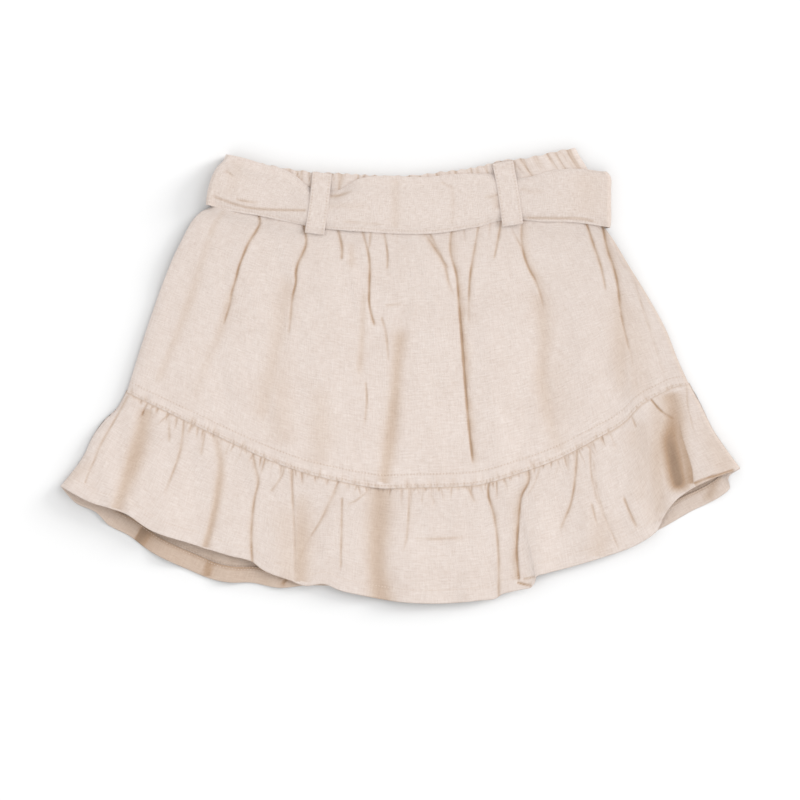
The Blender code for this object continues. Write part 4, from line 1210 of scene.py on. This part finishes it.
# ------------------------------------------------------------------ sub-assemblies
@dataclass
class Stitching:
    """Rows of short stitches, each a small slim bead of thread."""

    pitch: float = 2.0
    length: float = 1.4
    width: float = 0.34
    height: float = 0.26
    proud: float = 0.08
    shell: bmesh.types.BMesh = field(default_factory=bmesh.new)
    count: int = 0

    def row(self, path: Array, facing: float = 1.0) -> None:
        """Sew a row along a path.

        Args:
            path: points on the cloth, (n, 3).
            facing: 1 where the thread shows from above, -1 from below.
        """
        reach = reach_along(path)
        spots = np.arange(self.pitch / 2, reach[-1], self.pitch)
        ends = [pick(path, spots + off, reach) for off in (-self.length / 2, self.length / 2)]
        beads = bmesh.new()
        for start, end in zip(*ends):
            run = Vector(end - start)
            if run.length < 0.2 * self.length:
                continue
            middle = (start + end) / 2 + np.array([0.0, 0.0, self.proud * facing])
            turn = run.to_track_quat("X", "Z").to_matrix().to_4x4()
            size = Matrix.Diagonal((run.length / 2, self.width / 2, self.height / 2, 1.0))
            place = Matrix.Scale(MM, 4) @ Matrix.Translation(Vector(middle)) @ turn @ size
            bmesh.ops.create_uvsphere(beads, u_segments=6, v_segments=4, radius=1.0, matrix=place)
            self.count += 1
        sewn = mesh_of("row", beads)
        self.shell.from_mesh(sewn)
        bpy.data.meshes.remove(sewn)

    def finish(self, name: str, material: Material) -> Piece:
        """Make the mesh of every row sewn so far.

        Args:
            name: what the piece is called.
            material: the thread's material.

        Returns:
            The piece.
        """
        bmesh.ops.recalc_face_normals(self.shell, faces=self.shell.faces)
        mesh = mesh_of(name, self.shell)
        mesh.shade_smooth()
        piece = put_in_scene(name, mesh)
        dress(piece, material, [])
        LOG.info("%s: %d stitches", name, self.count)
        return piece


@dataclass
class Skirt:
    """The gathered skirt: one tube of the front and the back panel."""

    front_columns: int = 560
    back_columns: int = 70
    rows: int = 142
    width: float = 368.0                # front and back at the ruffle's seam
    length: float = 168.0
    allowance: float = 8.2              # the seam's turned edge, sewn down by the upper row
    stitch_rows: Spot = (1.6, 8.1)
    edge_step: float = 0.18             # how far the seam's edge stands up
    edge_dip: float = 0.16              # how far it sinks at the ruffle
    hem: float = 2.4                    # its edge turned under at the ruffle
    hem_wall: float = 0.35
    # painted shade on the hem turned under at the ruffle
    hem_shade: float = 1.15

    def sheet(self, columns: int, ends: float) -> Sheet:
        """Spread the front or the back."""
        down = crowded(self.rows, (0.97,), 0.03, 0.6)
        return Sheet(Patch(LEFT_SIDE, RIGHT_SIDE, WAIST_SEAM, RUFFLE_SEAM),
                     crowded(columns, ends=ends), down, self.width, self.length)

    def front(self) -> Cloth:
        """Shape the front: gathers at the waist, long creases, and the raised seam edge."""
        sheet = self.sheet(self.front_columns, 8.0)
        along, above = sheet.along, sheet.above
        depth = sheet.press(PANEL_CREASES)
        gathers = WAIST_GATHERS.press(along, sheet.below, self.width, sheet.mark)
        gathers = gathers + SEAM_PUCKERS.press(along, above, self.width, sheet.mark)
        edge = self.edge_step * soft_step((self.allowance + 0.8 - above) / 1.4)
        edge = edge - self.edge_dip * np.exp(-above / 0.8)
        uneven = np.sin(along / 0.87 + 2.0 * np.sin(along / 11.0))
        pucker = (0.07 * uneven * bell((above - 4.5) / 4.0)
                  + 0.06 * np.sin(along / 1.7 + above / 1.6) * bell((above - 7.0) / 6.0))
        sheet.mark.shade(LAY.right_edge_shade(sheet))
        inner = soft_step(sheet.aside / LAY.side_turns[0])
        height = LAY.front_height(sheet, inner * (edge + pucker - gathers) - depth)
        return sheet.cloth(height, self.stitch_rows)

    def back(self) -> Cloth:
        """Shape the back, flat on the surface with shallow gathers."""
        sheet = self.sheet(self.back_columns, 4.0)
        lifted = BACK_WAIST_GATHERS.press(sheet.along, sheet.below, self.width, sheet.mark)
        return sheet.cloth(LAY.back_height(sheet) + 0.5 * lifted, self.stitch_rows)

    def build(self, material: Material) -> tuple[Piece, Cloth]:
        """Make the tube of a material, and give the piece and the front's shape."""
        front = self.front()
        tube = front.joined(self.back())
        hem = np.full(tube.points.shape[1], self.hem)
        piece = tube.with_hem(hem, self.hem_wall, self.hem_shade).mesh("skirt")
        dress(piece, material, ["front_panel", "back_panel"])
        return piece, front


@dataclass
class Ruffle:
    """The ruffle round the hem: one tube, gathered on to the skirt, with a turned hem."""

    front_columns: int = 760
    back_columns: int = 190
    rows: int = 84
    seam: float = 400.0
    fullness: float = 1.2
    length: float = 75.0
    hem: float = 8.6
    back_hem: float = 10.6
    hem_wall: float = 0.75
    hem_blend: float = 12.0             # columns between the front's hem and the back's
    # painted shade on the turned hem, deepest on the left where it lies under the front
    hem_shade: tuple[Spot, ...] = ((-215.0, 0.7), (-190.0, 0.9), (-165.0, 1.3), (-100.0, 1.1),
                                   (150.0, 0.7), (200.0, 0.45))
    tuck_under: float = 1.4             # how far the seam edge runs under the skirt's edge
    puff: float = 0.25                  # how far it swells below the seam
    ditch: float = 0.14                 # how far it sinks at the seam
    # painted shade under the skirt's edge, along the seam
    seam_shade: float = 0.20
    hem_step: float = 0.22              # how far the turned hem stands up
    hem_row_shade: float = 0.26              # painted shade along the back hem's stitches

    def sheet(self, top: Line, bottom: Line, across: Array) -> Sheet:
        """Spread the front or the back between two lines."""
        down = crowded(self.rows, (0.02,), 0.06, 1.0)
        width = self.fullness * self.seam
        return Sheet(Patch(LEFT_FOLD, RIGHT_FOLD, top, bottom), across, down, width, self.length)

    def front(self) -> Cloth:
        """Shape the front: gathers, creases, pleats and the lifted hem."""
        across = crowded(self.front_columns, (0.69, 0.93), 0.012, 0.8, 6.0)
        sheet = self.sheet(RUFFLE_SEAM.moved(0.0, self.tuck_under), FRONT_HEM, across)
        below = np.maximum(sheet.below - self.tuck_under, 0.0)
        depth = sheet.press(RUFFLE_CREASES)
        gathers = RUFFLE_GATHERS.press(sheet.along, below, self.seam, sheet.mark)
        sheet.mark.strength *= np.where(below < 0.6, 0.4, 1.0)
        puffed = self.puff * soft_step(below / 3.0) * bell((below - 3.0) / 9.0)
        ditch = self.ditch * (1.0 - soft_step(below / 2.0))
        # painted shade under the skirt's edge along the seam, and along the right side
        sheet.mark.shade(np.maximum(self.seam_shade * bell(below), LAY.right_edge_shade(sheet)))
        turned = self.hem_step * soft_step((self.hem - sheet.above) / 0.8)
        inner = soft_step(sheet.aside / 8.0)
        relief = inner * (puffed - ditch - gathers * soft_step(below / 1.2 + 0.3)) + turned - depth
        return sheet.cloth(LAY.front_height(sheet, relief), (self.hem,), 0.5)

    def back(self) -> Cloth:
        """Shape the back, on the surface, with a line of painted shade along its hem's stitches."""
        across = crowded(self.back_columns, (0.1,), 0.02, 1.5, 4.0)
        sheet = self.sheet(RUFFLE_SEAM, BACK_HEM, across)
        depth = np.minimum(sheet.press(BACK_CREASES), 1.2)
        lifted = BACK_RUFFLE_GATHERS.press(sheet.along, sheet.below, self.seam, sheet.mark)
        height = np.maximum(LAY.back_height(sheet) + lifted - depth, LAY.back)
        sheet.mark.shade(self.hem_row_shade * bell((sheet.above - self.back_hem + 0.4) / 0.9))
        return sheet.cloth(height, (self.back_hem,), 0.3)

    def build(self, material: Material) -> tuple[Piece, Cloth, Cloth]:
        """Make the tube of a material, and give the piece and the shapes of its two sheets."""
        front, back = self.front(), self.back()
        tube = front.joined(back)
        columns = np.arange(tube.points.shape[1])
        blend = soft_step((columns - self.front_columns) / self.hem_blend)
        blend = blend * soft_step((columns[-1] - columns) / self.hem_blend)
        shade = np.interp(tube.points[-1, :, 0], *np.array(self.hem_shade).T)
        hem = self.hem + (self.back_hem - self.hem) * blend
        piece = tube.with_hem(hem, self.hem_wall, shade).mesh("ruffle")
        dress(piece, material, ["front_ruffle", "back_ruffle"])
        return piece, front, back


@dataclass
class Waistband:
    """The elastic waistband: one tube of doubled cloth, ruched by the elastic in it."""

    wall: float = 1.9
    columns: int = 200
    rows: int = 26
    width: float = 300.0
    depth: float = 32.0
    back_level: float = 4.1
    front_level: float = 7.2
    side_turn: float = 7.0
    overlap: float = 0.3                # how far it runs over the waist's seam
    ruche: float = 0.45                 # how far its upper edge waves
    ruche_reach: float = 7.0            # how far down

    def half(self, level: float, drop: float, seed: int) -> Cloth:
        """Shape the front or the back.

        Args:
            level: its height.
            drop: how far its top edge lies below the other half's.
            seed: what fixes the places of the ruches.

        Returns:
            The half.
        """
        top = BAND_TOP.moved(0.0, -drop)
        left = Line((top.points[0], *BAND_LEFT.points[1:]))
        right = Line((top.points[-1], *BAND_RIGHT.points[1:]))
        sheet = Sheet(Patch(left, right, top, WAIST_SEAM.moved(0.0, self.overlap)),
                      crowded(self.columns, ends=6.0), crowded(self.rows, (0.0,), 0.1, 1.0),
                      self.width, self.depth)
        along, below = sheet.along, sheet.below
        depth = replace(RUCHES, seed=seed).press(along, below, self.width, sheet.mark)
        middle = (self.front_level + self.back_level) / 2
        turn = np.clip(np.minimum(along, self.width - along) / self.side_turn, 0.0, 1.0)
        height = middle + (level - middle) * round_over(turn)
        height = height - math.copysign(0.7, level - middle) * depth * turn
        ruche = self.ruche * np.sin(along / 1.55 + 3.0 * np.sin(along / 17.0))
        sheet.y += ruche * (1.0 - soft_step(below / self.ruche_reach)) * turn
        return sheet.cloth(height)

    def build(self, material: Material) -> Piece:
        """Make the tube of a material."""
        tube = self.half(self.front_level, 0.0, 3).joined(self.half(self.back_level, 1.5, 4))
        piece = tube.mesh("waistband")
        give_wall(piece, self.wall, 0.7)
        dress(piece, material, ["front_waistband", "back_waistband"])
        return piece


@dataclass
class Belt:
    """The soft belt: one ring of doubled cloth that runs through the loops."""

    wall: float = 1.0
    front_columns: int = 300
    back_columns: int = 110
    rows: int = 40
    width: float = 264.0
    height: float = 36.0
    front_level: float = 10.3
    back_level: float = 0.6
    split: float = 5.4                  # where the two halves meet at the sides
    side_turn: float = 2.6
    loop_step: float = 1.5              # how far it steps over the loops behind it
    shelf: float = 7.0
    left_end: float = -125.0
    right_end: float = 136.0
    stitch_row: float = 1.9
    crown: float = 0.35                 # how far its middle stands up
    wave: float = 0.2
    droop: float = 1.6                  # how far its edges sink
    left_droop: float = 1.5             # how much more at its left end
    left_from: float = -100.0

    def sheet(self, top: Line, bottom: Line, columns: int) -> Sheet:
        """Spread the front or the back between two lines."""
        return Sheet(Patch(BELT_LEFT, BELT_RIGHT, top, bottom), crowded(columns, ends=8.0),
                     crowded(self.rows, ends=3.0), self.width, self.height)

    def turned(self, sheet: Sheet, level: float) -> Array:
        """Give each point's height as the belt turns over its sides."""
        away = np.minimum(sheet.along, self.width - sheet.along)
        return self.split + (level - self.split) * round_over(away / self.side_turn)

    def front(self) -> Cloth:
        """Shape the front, with its soft creases and its lower layer."""
        sheet = self.sheet(BELT_TOP, BELT_BOTTOM, self.front_columns)
        x, along, below, above = sheet.x, sheet.along, sheet.below, sheet.above
        depth = np.minimum(sheet.press(BELT_CREASES), 1.3)
        for edge, step in LAYER_EDGES:
            read = edge.measure(x, sheet.y, 14.0)
            depth[read.near] += step * soft_step(0.5 - read.aside / 0.9) * read.fade(2.0, 3.0)
            # the upper layer's edge gets a crease line and painted shade along it
            shown = step * read.fade(6.0, 1.0)
            sheet.mark.note(read.near, read.aside, 1.1 * shown)
            sheet.mark.shade(0.42 * shown * bell(read.aside / 0.8), read.near)
        # painted shade towards the belt's two ends, where they turn from the light
        sheet.mark.shade(0.06 * bell((self.right_end + 0.5 - x) / 6.0)
                         + 0.04 * bell((x - self.left_end) / 8.0))
        inner = soft_step(np.minimum(x - self.left_end, self.right_end - x) / 6.0)
        crown = self.crown * np.sin(math.pi * below / self.height)
        wave = self.wave * np.sin(along / 13.0 + below / 17.0)
        droop = self.droop * (1.0 - soft_step(np.minimum(below, above) / 7.0))
        leftmost = soft_step((self.left_from - x) / 16.0)
        droop = droop + self.left_droop * leftmost * (1.0 - soft_step(above / 18.0))
        height = self.turned(sheet, self.front_level) + (crown + wave - droop - depth) * inner - 0.2
        return sheet.cloth(height, (self.stitch_row,), 0.35)

    def back(self) -> Cloth:
        """Shape the back, on the surface and over the two loops behind it."""
        sheet = self.sheet(BELT_BACK_TOP, BELT_BACK_BOTTOM, self.back_columns)
        height = self.turned(sheet, self.back_level)
        for loop in BACK_LOOPS:
            past = np.abs(sheet.x - loop.top[0]) - loop.width / 2 - self.shelf
            height = height + self.loop_step * (1.0 - soft_step(past / self.shelf))
        height = height + 0.15 + 0.15 * np.sin(sheet.along / 11.0 + sheet.below / 9.0)
        return sheet.cloth(height, (self.stitch_row,), 0.35)

    def build(self, material: Material) -> tuple[Piece, Cloth]:
        """Make the ring of a material, and give the piece and the front's shape."""
        front = self.front()
        piece = front.joined(self.back()).mesh("belt")
        give_wall(piece, self.wall, 0.35)
        dress(piece, material, ["front_belt", "back_belt"])
        return piece, front


@dataclass(frozen=True)
class BeltLoop:
    """A belt loop: a narrow doubled strip, sewn down at both ends.

    top and end are the ends of its middle line, and belt_top and belt_bottom say where
    the edges of the belt pass under it.
    """

    name: str
    top: Spot
    end: Spot
    width: float
    belt_top: float
    belt_bottom: float
    over_belt: float
    at_ends: float
    facing: float
    wall: float = 0.9
    edge_row: float = 1.3
    bartack: float = 3.2                # how far from its ends it is sewn down
    bow: float = 0.5                    # how far its middle line bends
    dish: float = 0.16                  # how far its sides curl down
    ripple: float = 0.10
    columns: int = 16
    rows: int = 50

    @property
    def length(self) -> float:
        """Give the length of its middle line."""
        return math.dist(self.top, self.end)

    def shape(self, across: Array, down: Array, proud: float = 0.0) -> Cloth:
        """Shape the loop.

        Args:
            across: shares across it.
            down: shares down it.
            proud: how far out of its middle the points stand.

        Returns:
            Its points and their places in the flat strip.
        """
        start, way = np.array(self.top), np.array(self.end) - np.array(self.top)
        side = np.array([-way[1], way[0]]) / self.length
        bow = self.bow * np.sin(math.pi * down)[:, None, None] * side
        plan = (start + way * down[:, None, None] + bow
                + side * ((across - 0.5) * self.width)[None, :, None])
        past = np.maximum(plan[:, :, 1] - self.belt_top, self.belt_bottom - plan[:, :, 1])
        ramp = soft_step((past - 0.6) / 4.4)
        height = self.over_belt + (self.at_ends - self.over_belt) * ramp
        dish = self.dish * np.abs(2.0 * across - 1.0)[None, :] ** 4
        ripple = self.ripple * np.sin(down * 21.0)[:, None] * np.cos(across * 5.0)[None, :]
        height = height + self.facing * (proud - dish + ripple)
        wide, long = np.meshgrid(across * self.width, down * self.length)
        rows = (self.edge_row, self.width - self.edge_row)
        marks = row_marks(long, wide, rows)
        return Cloth(np.dstack([plan, height]), np.dstack([wide, long]), marks)

    def build(self, material: Material, stitching: Stitching) -> Piece:
        """Make the loop and sew its edges and its ends.

        Args:
            material: its material.
            stitching: where its stitches go.

        Returns:
            The piece.
        """
        across, down = (np.linspace(0.0, 1.0, count + 1) for count in (self.columns, self.rows))
        piece = self.shape(across, down).mesh("sewn_" + self.name, ring=False)
        if self.facing < 0.0:
            piece.data.flip_normals()
        give_wall(piece, self.wall, 0.35)
        dress(piece, material, [self.name])
        edge, end = self.edge_row / self.width, self.bartack / self.length
        for share in (edge, 1.0 - edge):
            path = self.shape(np.array([share]), np.linspace(0.03, 0.97, 60), self.wall / 2)
            stitching.row(path.points[:, 0], self.facing)
        for share in (end, 1.0 - end):
            path = self.shape(np.linspace(edge, 1.0 - edge, 12), np.array([share]), self.wall / 2)
            stitching.row(path.points[0], self.facing)
        return piece


FRONT_LOOPS = (
    BeltLoop("front_loop_left", (-50.5, 131.0), (-55.5, 91.5), 12.5, 120.6, 96.2, 11.35, 9.4, 1.0),
    BeltLoop("front_loop_right", (66.5, 138.0), (73.0, 97.0), 13.5, 129.0, 100.2, 11.35, 9.4, 1.0),
)
BACK_LOOPS = (
    BeltLoop("back_loop_left", (-46.0, 128.6), (-46.0, 85.5), 12.5, 123.4, 91.4, 0.6, 2.1, -1.0),
    BeltLoop("back_loop_right", (62.0, 130.0), (62.0, 84.5), 12.5, 123.8, 90.0, 0.6, 2.1, -1.0),
)


@dataclass
class ShortsLeg:
    """Half of the plain shorts inside: one flat tube from the waist to the leg's hem.

    girths says how far its outer and its inner edge are from the middle at each y.
    """

    side: Side
    wall: float = 0.5
    middle: float = 4.0
    columns: int = 30
    rows: int = 70
    waist: float = 98.0
    length: float = 186.0
    width: float = 130.0
    hem: float = 12.0
    inner_gap: float = 0.3
    side_turn: float = 2.0
    ahead: float = 8.0                  # how early it rises towards the waist
    back_level: float = 1.15
    front_level: float = 1.95
    girths: tuple[tuple[float, float, float], ...] = (
        (-88.0, 138.0, 14.0), (-58.0, 140.0, 9.0), (-50.0, 140.0, 0.0), (20.0, 134.0, 0.0),
        (60.0, 123.0, 0.0), (80.0, 117.0, 0.0), (98.0, 112.0, 0.0),
    )

    def half(self, level: float) -> Cloth:
        """Shape its front or back, at a height."""
        across = crowded(self.columns, ends=6.0)
        down = np.linspace(0.0, 1.0, self.rows + 1)
        levels, outers, inners = np.array(self.girths).T
        y = self.waist - self.length * down
        outer = np.interp(y, levels, outers)
        inner = np.interp(y, levels, inners) + self.inner_gap
        low, high = (inner, outer) if self.side is Side.RIGHT else (-outer, -inner)
        x = self.middle + low[:, None] + (high - low)[:, None] * across[None, :]
        y = np.repeat(y[:, None], len(across), axis=1)
        turn = round_over(np.minimum(x - x[:, :1], x[:, -1:] - x) / self.side_turn)
        middle = (self.back_level + self.front_level) / 2
        height = middle + (level - middle) * turn + LAY.rise(y + self.ahead)
        wide, long = np.meshgrid(across * self.width, down * self.length)
        marks = row_marks(wide, self.length - long, (self.hem,))
        return Cloth(np.dstack([x, y, height]), np.dstack([wide, long]), marks)

    def build(self, material: Material) -> Piece:
        """Make the tube of a material."""
        word = self.side.name.lower()
        tube = self.half(self.front_level).joined(self.half(self.back_level))
        piece = tube.mesh("shorts_" + word)
        give_wall(piece, self.wall)
        dress(piece, material, ["front_shorts_" + word, "back_shorts_" + word])
        return piece


@dataclass
class Studio:
    """The pale floor, the soft lights and the camera straight above."""

    view: float = 520.0                 # how much of the floor the picture shows
    camera_height: float = 3.0          # in metres, as are the places of the lights
    focus: Spot = (0.0, -0.01625)
    sensor: float = 36.0
    key_power: float = 1.12
    low_power: float = 3.2
    fill_power: float = 0.35
    key_way: Triple = (2.3, 0.95, 2.1)
    low_way: Triple = (2.3, 0.95, 0.66)
    fill_way: Triple = (-1.2, -0.8, 1.9)
    spreads: Triple = (40.0, 22.0, 60.0)
    sky: float = 0.90
    floor_white: float = 0.70
    floor_level: float = -0.0002        # just below the cloth

    def floor(self) -> Piece:
        """Lay the floor."""
        shell = bmesh.new()
        bmesh.ops.create_grid(shell, x_segments=2, y_segments=2, size=4.0)
        floor = put_in_scene("floor", mesh_of("floor", shell))
        material, _ = new_material("white table", {
            "Base Color": (*[self.floor_white] * 3, 1.0), "Roughness": 0.9,
            "Specular IOR Level": 0.0})
        floor.data.materials.append(material)
        floor.location.z = self.floor_level
        return floor

    def light(self, name: str, place: Triple, spread: float, power: float) -> Piece:
        """Shine a wide soft light on the garment, from far away.

        Args:
            name: what it is called.
            place: the way to it.
            spread: how wide it looks from the garment, in degrees.
            power: its power in watts a square metre.

        Returns:
            The light.
        """
        data = bpy.data.lights.new(name, "SUN")
        data.angle = math.radians(spread)
        data.energy = power
        lamp = put_in_scene(name, data)
        lamp.location = place
        lamp.rotation_euler = (-Vector(place)).to_track_quat("-Z", "Y").to_euler()
        return lamp

    def camera(self) -> None:
        """Set up the camera, straight above."""
        data = bpy.data.cameras.new("camera")
        data.sensor_width = self.sensor
        data.lens = self.sensor * self.camera_height / (self.view * MM)
        data.clip_end = 50.0
        camera = put_in_scene("camera", data)
        camera.location = (*self.focus, self.camera_height)
        bpy.context.scene.camera = camera

    def build(self) -> None:
        """Make the floor, the camera and the lights, of which the low one lights only the floor."""
        lit = bpy.data.collections.new("lit by the low light")
        lit.objects.link(self.floor())
        self.camera()
        self.light("key", self.key_way, self.spreads[0], self.key_power)
        low = self.light("low", self.low_way, self.spreads[1], self.low_power)
        low.light_linking.receiver_collection = lit
        self.light("fill", self.fill_way, self.spreads[2], self.fill_power)
        world = bpy.data.worlds.new("room")
        world.use_nodes = True
        background = world.node_tree.nodes["Background"].inputs
        background["Color"].default_value = (1.0, 1.0, 1.0, 1.0)
        background["Strength"].default_value = self.sky
        bpy.context.scene.world = world
        bpy.context.scene.view_settings.view_transform = "Standard"
        LOG.info("studio: floor, three lights and camera")


def main() -> None:
    """Build the skort and its studio."""
    logging.basicConfig(level=logging.INFO, format="%(name)s: %(message)s")
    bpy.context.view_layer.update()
    Studio().build()
    weave_group()
    crease_group()
    linen, belt_linen, jersey, thread = (
        finish.material() for finish in (LINEN, BELT_LINEN, JERSEY, THREAD))

    skirt = Skirt()
    skirt_piece, skirt_front = skirt.build(linen)
    ruffle = Ruffle()
    ruffle_piece, ruffle_front, ruffle_back = ruffle.build(linen)
    waistband_piece = Waistband().build(linen)
    belt = Belt()
    belt_piece, belt_front = belt.build(belt_linen)
    shorts = [ShortsLeg(side).build(jersey) for side in Side]

    loop_stitches = Stitching()
    loops = [loop.build(belt_linen, loop_stitches) for loop in (*FRONT_LOOPS, *BACK_LOOPS)]
    loop_thread = loop_stitches.finish("loop_stitches", thread)

    seam = Stitching()
    for row in skirt.stitch_rows:
        seam.row(skirt_front.row_path(skirt.length - row, 0.01, 0.99, 0.05))
    seam_thread = seam.finish("seam_stitches", thread)

    hem = Stitching()
    hem.row(ruffle_front.row_path(ruffle.length - ruffle.hem, 0.01, 0.86, -0.05))
    for row in (ruffle.back_hem - 0.6, ruffle.back_hem - 2.2):
        hem.row(ruffle_back.row_path(ruffle.length - row, 0.02, 0.98, 0.85))
    hem_thread = hem.finish("hem_stitches", thread)

    edge = Stitching(width=0.3)
    edge.row(belt_front.row_path(belt.height - belt.stitch_row, 0.03, 0.97, belt.wall / 2))
    belt_thread = edge.finish("belt_stitches", thread)


if __name__ == "__main__":
    main()
